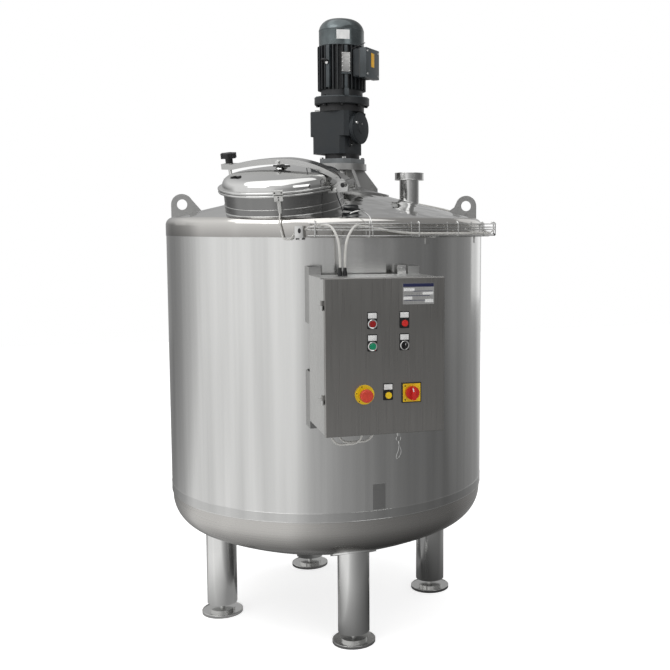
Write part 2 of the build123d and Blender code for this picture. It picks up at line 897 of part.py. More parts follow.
# Gearbox: mounting plate, black collar and a stepped housing turned 45 degrees
gear = Plane(
    origin=drive + Vector(0, 0, stand_top), x_dir=(cos(radians(gear_turn)), sin(radians(gear_turn)), 0)
)
with BuildPart() as gearbox_plate:
    with BuildSketch(gear):
        Rectangle(mount_plate, mount_plate)
    extrude(amount=mount_plate_thickness)
    chamfer(gearbox_plate.edges().filter_by(Axis.Z), mount_plate_chamfer)
save(gearbox_plate.part, "gearbox_plate")

with BuildPart() as gearbox_collar:
    with BuildSketch(gear.offset(mount_plate_thickness)):
        Circle(collar_radius)
    extrude(amount=collar_thickness)
save(gearbox_collar.part, "gearbox_collar")

housing_z = mount_plate_thickness + collar_thickness
lower_length = gear_length - gear_step_near - gear_step_far
lower_shift = gear_shift + (gear_step_far - gear_step_near) / 2
housing_top = housing_z + gear_lower + gear_upper
with BuildPart() as gearbox_housing:
    with BuildSketch(gear.offset(housing_z)) as lower_outline:
        with Locations((lower_shift, 0)):
            Rectangle(lower_length, gear_width)
        chamfer(lower_outline.vertices(), gear_chamfer)
    extrude(amount=gear_lower)
    with BuildSketch(gear.offset(housing_z + gear_lower)) as upper_outline:
        with Locations((gear_shift, 0)):
            Rectangle(gear_length, gear_width)
        chamfer(upper_outline.vertices(), gear_chamfer)
    extrude(amount=gear_upper)
    face_plane = Plane(
        origin=gear.from_local_coords((gear_shift + gear_length / 2, 0, housing_z + gear_lower + cover_z)),
        x_dir=gear.y_dir,
        z_dir=gear.x_dir,
    )
    with BuildSketch(face_plane):
        Circle(cover_radius)
    extrude(amount=cover_proud)
save(gearbox_housing.part, "gearbox_housing")

# Motor, upright on the gearbox
with BuildPart() as motor_adapter:
    with BuildSketch(gear.offset(housing_top)):
        Circle(adapter_radius)
    extrude(amount=adapter_height)
save(motor_adapter.part, "motor_adapter")

motor = gear.offset(housing_top + adapter_height)
with BuildPart() as motor_flange:
    with BuildSketch(motor):
        Circle(motor_flange_radius)
    extrude(amount=motor_flange_thickness)
    fillet(motor_flange.edges(), 4)
save(motor_flange.part, "motor_flange")

body_z = motor_flange_thickness + shield_height
with BuildPart() as motor_body:
    with BuildSketch(motor.offset(motor_flange_thickness)):
        Circle(shield_radius)
    extrude(amount=shield_height)
    with BuildSketch(motor.offset(body_z)):
        Circle(motor_radius)
        with PolarLocations(motor_radius + fin_reach / 2 - 2, fin_count):
            Rectangle(fin_reach + 4, fin_thickness)
    extrude(amount=motor_height)
save(motor_body.part, "motor_body")

fan = motor.offset(body_z + motor_height)
with BuildPart() as fan_cover:
    with BuildSketch(side_plane(fan)):
        with BuildLine():
            Polyline((0, 0), (fan_radius, 0), (fan_radius, fan_side))
            ThreePointArc(
                (fan_radius, fan_side),
                ((fan_radius + fan_top_radius) / 2 + 8, fan_side + fan_dome * 0.55),
                (fan_top_radius, fan_side + fan_dome * 0.9),
            )
            Polyline((fan_top_radius, fan_side + fan_dome * 0.9), (0, fan_side + fan_dome), (0, 0))
        make_face()
    revolve(axis=Axis(fan.origin, fan.z_dir))
save(fan_cover.part, "fan_cover")

terminal_out = polar(1, terminal_turn)
terminal = Plane(
    origin=drive + terminal_out * terminal_reach + Vector(0, 0, motor.origin.Z + terminal_lift),
    x_dir=Vector(0, 0, 1).cross(terminal_out),
    z_dir=terminal_out,
)
with BuildPart() as terminal_box:
    with BuildSketch(terminal):
        with Locations((0, terminal_height / 2)):
            RectangleRounded(terminal_width, terminal_height, 8)
    extrude(amount=-(terminal_reach - motor_radius + 2))
    with Locations(motor):
        Cylinder(motor_radius + fin_reach + fit, 2 * stand_z, mode=Mode.SUBTRACT)
save(terminal_box.part, "terminal_box")

# Agitator shaft and its pitched blades
with BuildPart() as agitator_shaft:
    with Locations(drive + Vector(0, 0, shaft_bottom)):
        Cylinder(shaft_radius, stand_top - shaft_bottom - fit, align=BASE)
save(agitator_shaft.part, "agitator_shaft")

with BuildPart() as impeller:
    hub_middle = drive + Vector(0, 0, shaft_bottom + hub_height / 2)
    with Locations(hub_middle):
        Cylinder(hub_radius, hub_height)
    for blade in range(blade_count):
        out = polar(1, blade * 360 / blade_count)
        across = Vector(0, 0, 1).cross(out)
        normal = Vector(0, 0, cos(radians(blade_pitch))) + across * sin(radians(blade_pitch))
        with Locations(Plane(origin=hub_middle, x_dir=out, z_dir=normal)):
            Box(blade_reach, blade_width, blade_thickness, align=(Align.MIN, Align.CENTER, Align.CENTER))
    with Locations(hub_middle):
        Cylinder(shaft_radius, 2 * hub_height, mode=Mode.SUBTRACT)
save(impeller.part, "impeller")

# Control box on brackets in front of the cladding, with its half of the door hinge
box_left = box_shift - box_width / 2
door_back = -box_front - door_clearance
hinge_line_x = box_left - door_overlap - hinge_offset
hinge_line_y = door_back - knuckle_radius_box
hinge_heights = (box_bottom + box_height / 5, box_top - box_height / 5)
with BuildPart() as control_box:
    with Locations((box_shift, -box_front, box_bottom)):
        Box(box_width, box_front - box_back, box_height, align=(Align.CENTER, Align.MIN, Align.MIN))
    with Locations((box_shift, -box_front - box_wall, box_bottom + box_wall)):
        Box(
            box_width - 2 * box_wall,
            box_front - box_back,
            box_height - 2 * box_wall,
            align=(Align.CENTER, Align.MIN, Align.MIN),
            mode=Mode.SUBTRACT,
        )
    for height in hinge_heights:
        with Locations((hinge_line_x, hinge_line_y, height)):
            Cylinder(knuckle_radius_box, knuckle_length / 2, align=BASE)
            Box(knuckle_radius_box, leaf_length, knuckle_length / 2, align=(Align.MAX, Align.MIN, Align.MIN))
        with Locations((box_left, hinge_line_y + leaf_length, height)):
            Box(
                box_left - hinge_line_x,
                leaf_length * 0.75,
                knuckle_length / 2,
                align=(Align.MAX, Align.MAX, Align.MIN),
            )
save(control_box.part, "control_box")

# Brackets reach from the cladding to the box's back, above and below it
with BuildPart() as box_brackets:
    for sign in (1, -1):
        for low in (box_bottom - bracket_rise, box_top - box_height / 3):
            with Locations((box_shift + sign * (box_width - bracket_width) / 2, -box_back, low)):
                Box(
                    bracket_width,
                    box_back - cladding_radius + bracket_width * 2,
                    box_height / 3 + bracket_rise,
                    align=(Align.CENTER, Align.MIN, Align.MIN),
                )
                with Locations((0, bracket_thickness, 0)):
                    Box(
                        bracket_width - 2 * bracket_thickness,
                        box_back,
                        box_height / 3 + bracket_rise,
                        align=(Align.CENTER, Align.MIN, Align.MIN),
                        mode=Mode.SUBTRACT,
                    )
    Cylinder(cladding_radius + fit, 2 * cladding_top, mode=Mode.SUBTRACT)
save(box_brackets.part, "box_brackets")

# Door: a folded tray over the box's front, with knuckles on its left edge
door_front = door_back - door_thickness
door_width = box_width + 2 * door_overlap
door_height = box_height + 2 * door_overlap
stations = {
    "lamp": lamp_at,
    "stop": stop_at,
    "start": start_at,
    "selector": selector_at,
    "reset": reset_at,
}


def panel(place, proud=0):
    """A plane on the door's face at a place, its z towards the viewer."""
    spot = (place[0] + box_shift, door_front - proud, box_top - place[1])
    return Plane(origin=spot, x_dir=(1, 0, 0), z_dir=(0, -1, 0))


with BuildPart() as control_door:
    with Locations((box_shift, door_back, box_bottom - door_overlap)):
        Box(door_width, door_thickness, door_height, align=(Align.CENTER, Align.MAX, Align.MIN))
    fillet(control_door.faces().sort_by(Axis.Y)[0].edges(), box_wall)
    with Locations((box_shift, door_back, box_bottom - door_overlap + box_wall)):
        Box(
            door_width - 2 * box_wall,
            door_thickness - box_wall,
            door_height - 2 * box_wall,
            align=(Align.CENTER, Align.MAX, Align.MIN),
            mode=Mode.SUBTRACT,
        )
    for place in list(stations.values()) + [estop_at, switch_at]:
        with Locations(panel(place)):
            Cylinder(button_hole, 4 * box_wall, mode=Mode.SUBTRACT)
    for height in hinge_heights:
        with Locations((hinge_line_x, hinge_line_y, height + knuckle_length / 2 + door_clearance)):
            Cylinder(knuckle_radius_box, knuckle_length / 2, align=BASE)
            Box(
                hinge_offset + 1,
                knuckle_radius_box,
                knuckle_length / 2,
                align=(Align.MIN, Align.MAX, Align.MIN),
            )
save(control_door.part, "control_door")

# Button stations: legend plate, bezel and the contact block behind the door
with BuildPart() as panel_fittings:
    for place in stations.values():
        with BuildSketch(panel(place)):
            with Locations((0, legend_height / 2 - bezel_radius - 1)):
                RectangleRounded(legend_width, legend_height, 3)
            Circle(bezel_bore, mode=Mode.SUBTRACT)
        extrude(amount=legend_thickness)
        with BuildSketch(panel(place)):
            Circle(bezel_radius)
            Circle(bezel_bore, mode=Mode.SUBTRACT)
        extrude(amount=bezel_height)
        with BuildSketch(panel(place, -box_wall)):
            Rectangle(contact_size, contact_size)
        extrude(amount=-contact_depth)
        with BuildSketch(panel(place, -box_wall)):
            Circle(button_hole - fit)
            Circle(bezel_bore, mode=Mode.SUBTRACT)
        extrude(amount=box_wall)
save(panel_fittings.part, "panel_fittings")

for name in ("stop", "start", "reset"):
    with BuildPart() as cap:
        with BuildSketch(panel(stations[name], bezel_height + cap_proud)):
            Circle(cap_radius)
        extrude(amount=-(cap_proud + bezel_height - press + 0.5))
        chamfer(cap.faces().sort_by(Axis.Y)[0].edges(), 1)
    save(cap.part, f"{name}_button")

with BuildPart() as power_lamp:
    with BuildSketch(panel(lamp_at)):
        Circle(cap_radius)
    extrude(amount=bezel_height + cap_proud)
    fillet(power_lamp.faces().sort_by(Axis.Y)[0].edges(), 2)
save(power_lamp.part, "power_lamp")

with BuildPart() as selector_knob:
    with BuildSketch(panel(selector_at, 1)):
        Circle(cap_radius)
    extrude(amount=bezel_height)
    with BuildSketch(panel(selector_at, bezel_height)):
        Rectangle(7, 2 * cap_radius - 2)
    extrude(amount=9)
save(selector_knob.part, "selector_knob")

with BuildPart() as estop_base:
    with BuildSketch(panel(estop_at)):
        Circle(estop_plate_radius)
        Circle(mushroom_stem + 1, mode=Mode.SUBTRACT)
    extrude(amount=estop_plate_thickness)
    with BuildSketch(panel(estop_at)):
        Circle(estop_neck_radius)
        Circle(mushroom_stem + 1, mode=Mode.SUBTRACT)
    extrude(amount=estop_neck)
    with BuildSketch(panel(estop_at, -box_wall)):
        Rectangle(contact_size, contact_size)
    extrude(amount=-contact_depth)
    with BuildSketch(panel(estop_at, -box_wall)):
        Circle(button_hole - fit)
        Circle(mushroom_stem + 1, mode=Mode.SUBTRACT)
    extrude(amount=box_wall)
save(estop_base.part, "estop_base")

with BuildPart() as estop_button:
    with BuildSketch(panel(estop_at, estop_neck + estop_press + 1)):
        Circle(mushroom_radius)
    extrude(amount=mushroom_height)
    fillet(estop_button.faces().sort_by(Axis.Y)[0].edges(), 5)
    with BuildSketch(panel(estop_at, estop_press + 1)):
        Circle(mushroom_stem)
    extrude(amount=estop_neck + 1)
save(estop_button.part, "estop_button")

with BuildPart() as switch_plate:
    with BuildSketch(panel(switch_at)):
        RectangleRounded(switch_plate_size, switch_plate_size, 4)
    extrude(amount=switch_plate_thickness)
    with BuildSketch(panel(switch_at)):
        Circle(button_hole - fit)
    extrude(amount=-box_wall)
    with BuildSketch(panel(switch_at, -box_wall)):
        Rectangle(2 * contact_size, 2 * contact_size)
    extrude(amount=-contact_depth)
save(switch_plate.part, "switch_plate")

with BuildPart() as switch_knob:
    with BuildSketch(panel(switch_at, switch_plate_thickness + 0.5)):
        Circle(switch_knob_radius)
    extrude(amount=switch_knob_height)
    with BuildSketch(panel(switch_at, switch_plate_thickness + switch_knob_height)):
        RectangleRounded(switch_grip_width, 2 * switch_knob_radius - 2, 4)
    extrude(amount=switch_grip)
save(switch_knob.part, "switch_knob")

with BuildPart() as nameplate:
    with BuildSketch(panel(nameplate_at)):
        Rectangle(*nameplate_size)
    extrude(amount=1)
save(nameplate.part, "nameplate")

# Wire cable tray round the rim, on brackets from the cladding
with BuildPart() as cable_tray:
    span = tray_end - tray_start
    wire_places = [
        (tray_inner, tray_height), (tray_inner, tray_height / 3), (tray_inner, 0),
        ((tray_inner + tray_outer) / 2, 0),
        (tray_outer, 0), (tray_outer, tray_height * 0.64), (tray_outer, tray_height),
    ]
    with BuildSketch(radial_plane(tray_start)):
        for radius, height in wire_places:
            with Locations((radius, tray_bottom + height)):
                Rectangle(tray_wire, tray_wire)
    revolve(axis=Axis.Z, revolution_arc=span)
    for step in range(int(span / tray_pitch) + 1):
        azimuth = tray_start + tray_lead + step * tray_pitch
        middle = (tray_inner + tray_outer) / 2
        width = tray_outer - tray_inner + tray_wire
        with BuildSketch(radial_plane(azimuth)):
            with Locations((middle, tray_bottom + tray_height / 2)):
                Rectangle(width, tray_height + tray_wire)
                with Locations((0, tray_wire / 2)):
                    Rectangle(width - 2 * tray_wire, tray_height, mode=Mode.SUBTRACT)
        extrude(amount=tray_wire / 2, both=True)
    for step in range(tray_brackets):
        azimuth = tray_start + bracket_lead + step * 2 * tray_pitch
        with BuildSketch(radial_plane(azimuth)):
            with Locations(((cladding_radius + tray_outer) / 2, tray_bottom - tray_wire)):
                Rectangle(tray_outer - cladding_radius, tray_wire)
            with Locations((band_radius + tray_wire / 2, tray_bottom - tray_bracket / 2)):
                Rectangle(tray_wire, tray_bracket)
        extrude(amount=tray_bracket / 2, both=True)
    Cylinder(band_radius + fit, 2 * cladding_top, align=BASE, mode=Mode.SUBTRACT)
save(cable_tray.part, "cable_tray")

junction_out = polar(1, junction_angle)
junction_side = Plane(
    origin=polar(band_radius + junction_gap, junction_angle, tray_bottom - junction_drop),
    x_dir=junction_out,
    z_dir=junction_out.cross(Vector(0, 0, 1)),
)
with BuildPart() as junction_box:
    with BuildSketch(junction_side):
        with Locations((junction_depth / 2, junction_height / 2)):
            Rectangle(junction_depth, junction_height)
    extrude(amount=junction_width / 2, both=True)
    fillet(junction_box.edges().filter_by(Axis.Z), 4)
save(junction_box.part, "junction_box")

# Glands where cables enter the control box and leave the terminal box
gland_back = terminal_reach - motor_radius - 22
terminal_gland = Plane(
    origin=terminal.from_local_coords((terminal_width / 2, terminal_height / 3, -gland_back)),
    x_dir=(0, 0, 1),
    z_dir=terminal.x_dir,
)
with BuildPart() as cable_glands:
    for x, y in box_spots:
        with Locations((x, y, box_top)):
            Cylinder(gland_radius, gland_height, align=BASE)
    with Locations(terminal_gland):
        Cylinder(gland_radius, gland_height, align=BASE)
save(cable_glands.part, "cable_glands")

# Lid switch cable: down the neck, over the rim and up into the junction box's side
junction_low = tray_bottom - junction_drop
with BuildPart() as sensor_cable:
    sensor_route = [
        switch.from_local_coords((flange_radius + 5, 0, sensor_low)),
        switch.from_local_coords((flange_radius + 5, 0, 12)),
        polar(band_radius + 12, -26.2, tray_bottom + 40),
        polar(band_radius + 13, -25, junction_low - 4),
        polar(band_radius + 15, -22.6, junction_low - 4),
        polar(band_radius + 17, junction_angle - 1.6, junction_low + 14),
    ]
    sensor_bends = [sensor_bend * 1.5, sensor_bend * 1.5, sensor_bend, sensor_bend]
    add(tube_along(sensor_route, sensor_bends, sensor_cable_radius))
save(sensor_cable.part, "sensor_cable")

# Control cable from the junction box, out between the tray's wires to the box
feed_left, feed_right = box_spots
top_gland = box_top + gland_height
with BuildPart() as feed_cable:
    add(cable([
        polar(band_radius + 20, junction_angle + 1.6, junction_low + 28),
        polar(tray_inner + 26, -14.5, tray_bottom + 36),
        polar(tray_outer + 41, -10.5, tray_bottom + 37),
        Vector(feed_left[0] - 4, feed_left[1] + 1, tray_bottom - 9),
        Vector(*feed_left, box_top + 62),
        Vector(*feed_left, top_gland),
    ], cable_radius))
save(feed_cable.part, "feed_cable")

# Motor cable: down behind the drive, over the cone, along the tray to the box
gland_out = terminal_gland.z_dir
cable_start = terminal_gland.origin + gland_out * gland_height
behind = drive - terminal_out * 60 + gland_out * 170
cone_lay = cladding_radius - 308.5
rim_lay = cladding_radius - 40
tray_lay = tray_inner + 32
with BuildPart() as motor_cable:
    add(cable([
        cable_start,
        cable_start + gland_out * 70,
        behind + Vector(0, 0, cable_start.Z),
        behind + Vector(0, 0, stand_z - 59),
        polar(cone_lay, 121, cone_z(cone_lay) + 21.5),
        polar(rim_lay, 101, cone_z(rim_lay) + 27.5),
        polar(tray_lay - 2, 97, tray_bottom + 51),
        polar(tray_lay, 84, tray_bottom + 9),
        polar(tray_lay, 66, tray_bottom + 9),
        polar(tray_lay, 48, tray_bottom + 9),
        polar(tray_lay, 30, tray_bottom + 9),
        polar(tray_lay, 12, tray_bottom + 10),
        polar(tray_lay - 2, -1.5, tray_bottom + 34),
        polar(tray_outer + 35, -4.3, tray_bottom + 37),
        Vector(feed_right[0] + 6, feed_right[1] + 1, tray_bottom - 6),
        Vector(*feed_right, box_top + 62),
        Vector(*feed_right, top_gland),
    ], cable_radius))
save(motor_cable.part, "motor_cable")

# Two loops of cable below the control box
with BuildPart() as hanging_loops:
    for left, right, inward, drop in ((-160, -64, 30, loop_drop), (-134, -24, 46, loop_drop - 2)):
        start = Vector(box_shift + left, inward - box_front, box_bottom)
        end = Vector(box_shift + right, inward - box_front, box_bottom)
        down = Vector(0, 0, drop)
        add(tube_along([start, start - down, end - down, end], [loop_bend, loop_bend], loop_radius))
save(hanging_loops.part, "hanging_loops")
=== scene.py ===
import bmesh
import bpy
from contextlib import contextmanager
from math import cos, pi, radians, sin, tan
from mathutils import Matrix, Vector


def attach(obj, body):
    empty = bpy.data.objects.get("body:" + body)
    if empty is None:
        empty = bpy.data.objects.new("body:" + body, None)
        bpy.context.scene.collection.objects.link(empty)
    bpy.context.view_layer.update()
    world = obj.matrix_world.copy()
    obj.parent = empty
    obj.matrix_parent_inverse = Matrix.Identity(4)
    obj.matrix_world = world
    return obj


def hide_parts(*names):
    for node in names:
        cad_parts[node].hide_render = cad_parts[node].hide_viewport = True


# Insulated mixing tank: finishes, small fittings, studio and camera. Metres, in the frame of the solids.

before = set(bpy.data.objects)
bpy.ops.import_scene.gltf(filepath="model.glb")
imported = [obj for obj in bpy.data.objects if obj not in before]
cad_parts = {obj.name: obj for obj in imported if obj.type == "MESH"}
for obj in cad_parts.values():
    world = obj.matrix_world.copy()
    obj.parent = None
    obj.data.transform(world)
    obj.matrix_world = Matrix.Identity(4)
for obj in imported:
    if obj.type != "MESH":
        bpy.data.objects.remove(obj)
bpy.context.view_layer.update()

# Sizes of the vessel, shared with the solids
CLADDING_R = 0.600
WELD_Z = 0.498
SEAM_Z = 0.529
BAND_Z = 1.4575
CONE_RIM_Z = 1.5187
CONE_SLOPE = radians(13.8)
LEG_CIRCLE = 0.423
LEG_AZIMUTHS = (0, 90, 180, 270)
LUG_LINE = 78.3
NOZZLE_REACH = 0.322

# Manway, with places along its own axes
MANWAY_AZIMUTH = -33.9
MANWAY_REACH = 0.381
MANWAY_TILT = radians(11.8)
ARM_TURN = radians(-46)
NECK_R = 0.205
CLAMP_X = -0.226
HINGE_X = 0.269
PIVOT_Z = 0.0773
SENSOR_TURN = radians(-58)
SENSOR_FACE = 0.2345

# Drive
DRIVE = Vector((0.064, 0, 0))
GEAR_TURN = radians(-45)
GEAR_AXIS_Z = 1.866
GEAR_FACE = 0.0836
GEAR_CAP = 0.003
GEAR_TOP_Z = 1.928
FLANGE_Z = 1.954
FLANGE_TOP_Z = 1.983
BODY_TOP_Z = 2.172
FAN_Z = 2.233
FAN_R = 0.086
MOTOR_FRONT = -2.8
PLATE_Z = 2.106
TERMINAL_TURN = 48
TERMINAL_REACH = 0.134
TERMINAL_Z = 2.105

# Control box: places on its door are x from the box's middle and z from the ground
BOX_X = -0.006
DOOR_Y = -0.9005
STATIONS = {
    "lamp": (-0.043, 1.201),
    "stop": (0.058, 1.201),
    "start": (-0.043, 1.133),
    "selector": (0.058, 1.133),
    "reset": (0.006, 0.981),
}
EMERGENCY_STOP = (-0.068, 0.986)
MAIN_SWITCH = (0.080, 0.986)
NAMEPLATE = (0.103, 1.290)
LOCK_X = 0.036
LOCK_Y = -0.8915

# Cable tray: azimuths of its ends and the pitch of its cross wires, in degrees
TRAY_START = -17
TRAY_END = 100
CROSS_PITCH = 15.6
TRAY_WIRE_R = 0.0020
JUNCTION_AZIMUTH = -19.8
JUNCTION_REACH = 0.6355
JUNCTION_Z = 1.475

# Smoothness of the large round forms, and the angle over which an edge stays sharp
VESSEL_STEPS = 240
COVER_STEPS = 160
SHARP_EDGE = radians(40)

# Places
UP = Vector((0, 0, 1))


def local(x, y, z):
    return Matrix.Translation((x, y, z))


def upright(height, centre=(0, 0, 0)):
    """On an upright axis, at a height."""
    return Matrix.Translation(Vector(centre) + UP * height)


def turned(degrees, axis):
    return Matrix.Rotation(radians(degrees), 4, axis)


def polar(radius, azimuth, height=0):
    """A point at an angle in degrees from the front (-Y) towards +X."""
    turn = radians(azimuth)
    return Vector((radius * sin(turn), -radius * cos(turn), height))


def cone_z(radius):
    return CONE_RIM_Z + (CLADDING_R - radius) * tan(CONE_SLOPE)


def frame_matrix(origin, x_axis, z_axis):
    """A placement from an origin, a local x axis and a local z axis."""
    z_axis = z_axis.normalized()
    x_axis = (x_axis - z_axis * x_axis.dot(z_axis)).normalized()
    y_axis = z_axis.cross(x_axis)
    rows = Matrix((x_axis, y_axis, z_axis)).transposed().to_4x4()
    return Matrix.Translation(origin) @ rows


def radial(azimuth, radius, height, centre=(0, 0, 0)):
    """On an upright cylinder: local x to the right, y up, z outwards."""
    out = polar(1, azimuth)
    spot = Vector(centre) + out * radius + UP * height
    return frame_matrix(spot, UP.cross(out), out)


def side(matrix, x, y, z, out):
    """A placement on a piece's side: its local z points along out."""
    up = UP if abs(out[2]) < 0.9 else Vector((1, 0, 0))
    return matrix @ frame_matrix(Vector((x, y, z)), up.cross(Vector(out)), Vector(out))


def panel(station, proud=0):
    """On the control box's door: local x right, y up, z towards the viewer."""
    x, z = station
    return frame_matrix(Vector((x + BOX_X, DOOR_Y - proud, z)), Vector((1, 0, 0)), Vector((0, -1, 0)))


def arc(radius, start, end, height, steps):
    """Guide points round the tank's axis."""
    return [polar(radius, start + (end - start) * k / steps, height) for k in range(steps + 1)]


# Local frames: the manway's x runs along the cover arm towards its hinge
MANWAY = frame_matrix(
    polar(MANWAY_REACH, MANWAY_AZIMUTH, cone_z(MANWAY_REACH)),
    Vector((cos(ARM_TURN), sin(ARM_TURN), 0)),
    polar(1, MANWAY_AZIMUTH) * sin(MANWAY_TILT) + UP * cos(MANWAY_TILT),
)
SENSOR = MANWAY @ Matrix.Rotation(SENSOR_TURN, 4, "Z")
GEAR = frame_matrix(DRIVE, Vector((cos(GEAR_TURN), sin(GEAR_TURN), 0)), UP)
TERMINAL = radial(TERMINAL_TURN, TERMINAL_REACH, TERMINAL_Z, DRIVE)
JUNCTION = radial(JUNCTION_AZIMUTH, JUNCTION_REACH, JUNCTION_Z)
NOZZLE = polar(NOZZLE_REACH, LUG_LINE)


# Materials
class Graph:
    """A node tree and short ways to add and wire its nodes."""

    def __init__(self, tree):
        self.nodes = tree.nodes
        self.links = tree.links

    def feed(self, node, inputs):
        """Sets each input to a value, or links it to the output that feeds it."""
        for socket, value in inputs.items():
            if isinstance(value, bpy.types.NodeSocket):
                self.links.new(value, node.inputs[socket])
            else:
                node.inputs[socket].default_value = value

    def add(self, kind, inputs, **settings):
        """Adds a node with its settings and inputs, and gives its outputs."""
        node = self.nodes.new("ShaderNode" + kind)
        for setting, value in settings.items():
            setattr(node, setting, value)
        self.feed(node, inputs)
        return node.outputs

    def spread(self, source, low, high, start=0.3, end=0.7):
        """Maps the range from start to end onto the one from low to high."""
        ends = {"From Min": start, "From Max": end, "To Min": low, "To Max": high}
        return self.add("MapRange", {"Value": source, **ends})["Result"]

    def blend(self, factor, first, second):
        mixed = self.add("Mix", {"Factor": factor, "A": first, "B": second}, data_type="RGBA")
        return mixed["Result"]

    def split(self, vector):
        return self.add("SeparateXYZ", {"Vector": vector})


class Shader(Graph):
    """One Principled material and its textures."""

    def __init__(self, name, color, metallic, roughness):
        self.material = bpy.data.materials.new(name)
        self.material.use_nodes = True
        super().__init__(self.material.node_tree)
        self.bsdf = self.nodes["Principled BSDF"]
        self.feed(self.bsdf, {"Base Color": (*color, 1), "Metallic": metallic, "Roughness": roughness})
        self.coordinates = self.add("TexCoord", {})["Object"]

    def scaled(self, scale, source=None):
        return self.add("Mapping", {"Scale": scale, "Vector": source or self.coordinates})["Vector"]

    def cylindrical(self):
        """Azimuth, height and radius of the point as a vector."""
        place = self.split(self.coordinates)
        around = self.add("Math", {0: place["X"], 1: place["Y"]}, operation="ARCTAN2")[0]
        radius = self.add("VectorMath", {0: self.scaled((1, 1, 0))}, operation="LENGTH")["Value"]
        return self.add("CombineXYZ", {"X": around, "Y": place["Z"], "Z": radius})["Vector"]

    def noise(self, vector, detail):
        return self.add("TexNoise", {"Scale": 1.0, "Detail": detail, "Vector": vector})["Fac"]

    def grain(self, scale, detail):
        """Noise with one scale along all axes, or one along each."""
        scales = scale if isinstance(scale, tuple) else (scale, scale, scale)
        return self.noise(self.scaled(scales), detail)

    def roughen(self, source, low, high):
        self.feed(self.bsdf, {"Roughness": self.spread(source, low, high)})

    def tint(self, source, first, second, start=0.3, end=0.7):
        mixed = self.blend(self.spread(source, 0, 1, start, end), (*first, 1), (*second, 1))
        self.feed(self.bsdf, {"Base Color": mixed})

    def bump(self, source, distance, strength):
        relief = self.add("Bump", {"Distance": distance, "Strength": strength, "Height": source})
        self.feed(self.bsdf, {"Normal": relief["Normal"]})

    def brushed_around(self, amount):
        """Highlights drawn out along the height of an upright shell."""
        tangent = self.add("Tangent", {}, direction_type="RADIAL", axis="Z")["Tangent"]
        self.feed(self.bsdf, {"Anisotropic": amount, "Anisotropic Rotation": 0.25, "Tangent": tangent})


STEEL = (0.66, 0.66, 0.65)
# Warmer steel for the graded parts: its warmth is part of their painted reflection of the floor
WARM_STEEL = (0.66, 0.645, 0.62)


def shade(color, factor):
    return tuple(channel * factor for channel in color)


class Steel(Shader):
    """Brushed steel. A grade is two heights and the tones at them: (low, high, dark, light), a tint by height
    that paints shade and reflection onto the warmer steel.
    """

    def __init__(self, name, roughness, tone, grade):
        self.metal = WARM_STEEL if grade else STEEL
        self.tone = tone
        self.grade = grade
        super().__init__(name, shade(self.metal, tone), 1.0, roughness)

    def finish(self, lines, patches, contrast, relief):
        """Tints by the grade, which is painted shade and reflection by height, or else by patches, and
        presses the brushed lines in.
        """
        # A grade paints shade and reflection: the tone changes with height between its two tones
        if self.grade:
            start, end, dark, light = self.grade
            source = self.split(self.coordinates)["Z"]
        else:
            start, end = 0.3, 0.7
            dark = self.tone * (1 - contrast)
            light = self.tone * (1 + contrast / 2)
            source = patches
        self.tint(source, shade(self.metal, dark), shade(self.metal, light), start, end)
        self.bump(lines, relief, 0.5)
        return self.material


def rolled_steel(
    name, roughness, anisotropic, grain=520, streak=5, contrast=0.12, tone=1.0, relief=0.00003, grade=None
):
    """Sheet brushed round an upright shell, with soft upright streaks in its tone, partly polish variation
    and partly painted reflection streaks.
    """
    steel = Steel(name, roughness, tone, grade)
    around = steel.cylindrical()
    lines = steel.noise(steel.scaled((3, grain, 0), around), 4)
    # Upright tone streaks: partly polish variation, partly painted reflection streaks
    streaks = steel.noise(steel.scaled((streak, 0.35, 0), around), 5)
    steel.roughen(lines, roughness * 0.8, roughness * 1.25)
    steel.brushed_around(anisotropic)
    return steel.finish(lines, streaks, contrast, relief)


def flat_steel(name, roughness, grain, contrast=0.08, tone=1.0, grade=None):
    """Sheet or bar with straight grain: grain is the noise scale along each axis."""
    steel = Steel(name, roughness, tone, grade)
    lines = steel.grain(grain, 4)
    steel.roughen(lines, roughness * 0.75, roughness * 1.3)
    return steel.finish(lines, steel.grain(5, 3), contrast, 0.00002)


def polished_steel(name, roughness, wave, tone=1.0, swells=3):
    """Buffed sheet: nearly a mirror, with the slight waviness of thin metal."""
    steel = Shader(name, shade(STEEL, tone), 1.0, roughness)
    steel.roughen(steel.grain(160, 3), roughness * 0.7, roughness * 1.5)
    steel.bump(steel.grain(swells, 2), wave, 0.6)
    return steel.material


def enamel(name, color, roughness, metallic=0.0):
    """Machine paint with a little orange peel and dust."""
    paint = Shader(name, color, metallic, roughness)
    dust = paint.grain(18, 5)
    paint.roughen(dust, roughness * 0.8, roughness * 1.35)
    paint.tint(dust, shade(color, 0.8), shade(color, 1.5), 0.35, 0.8)
    paint.bump(paint.grain(420, 2), 0.0002, 0.35)
    return paint.material


def plastic(name, color, roughness, grain=900):
    """Moulded plastic with a fine grain."""
    moulded = Shader(name, color, 0.0, roughness)
    fine = moulded.grain(grain, 2)
    moulded.roughen(fine, roughness * 0.85, roughness * 1.2)
    moulded.tint(moulded.grain(40, 3), shade(color, 0.88), shade(color, 1.06))
    moulded.bump(fine, 0.00006, 0.4)
    return moulded.material


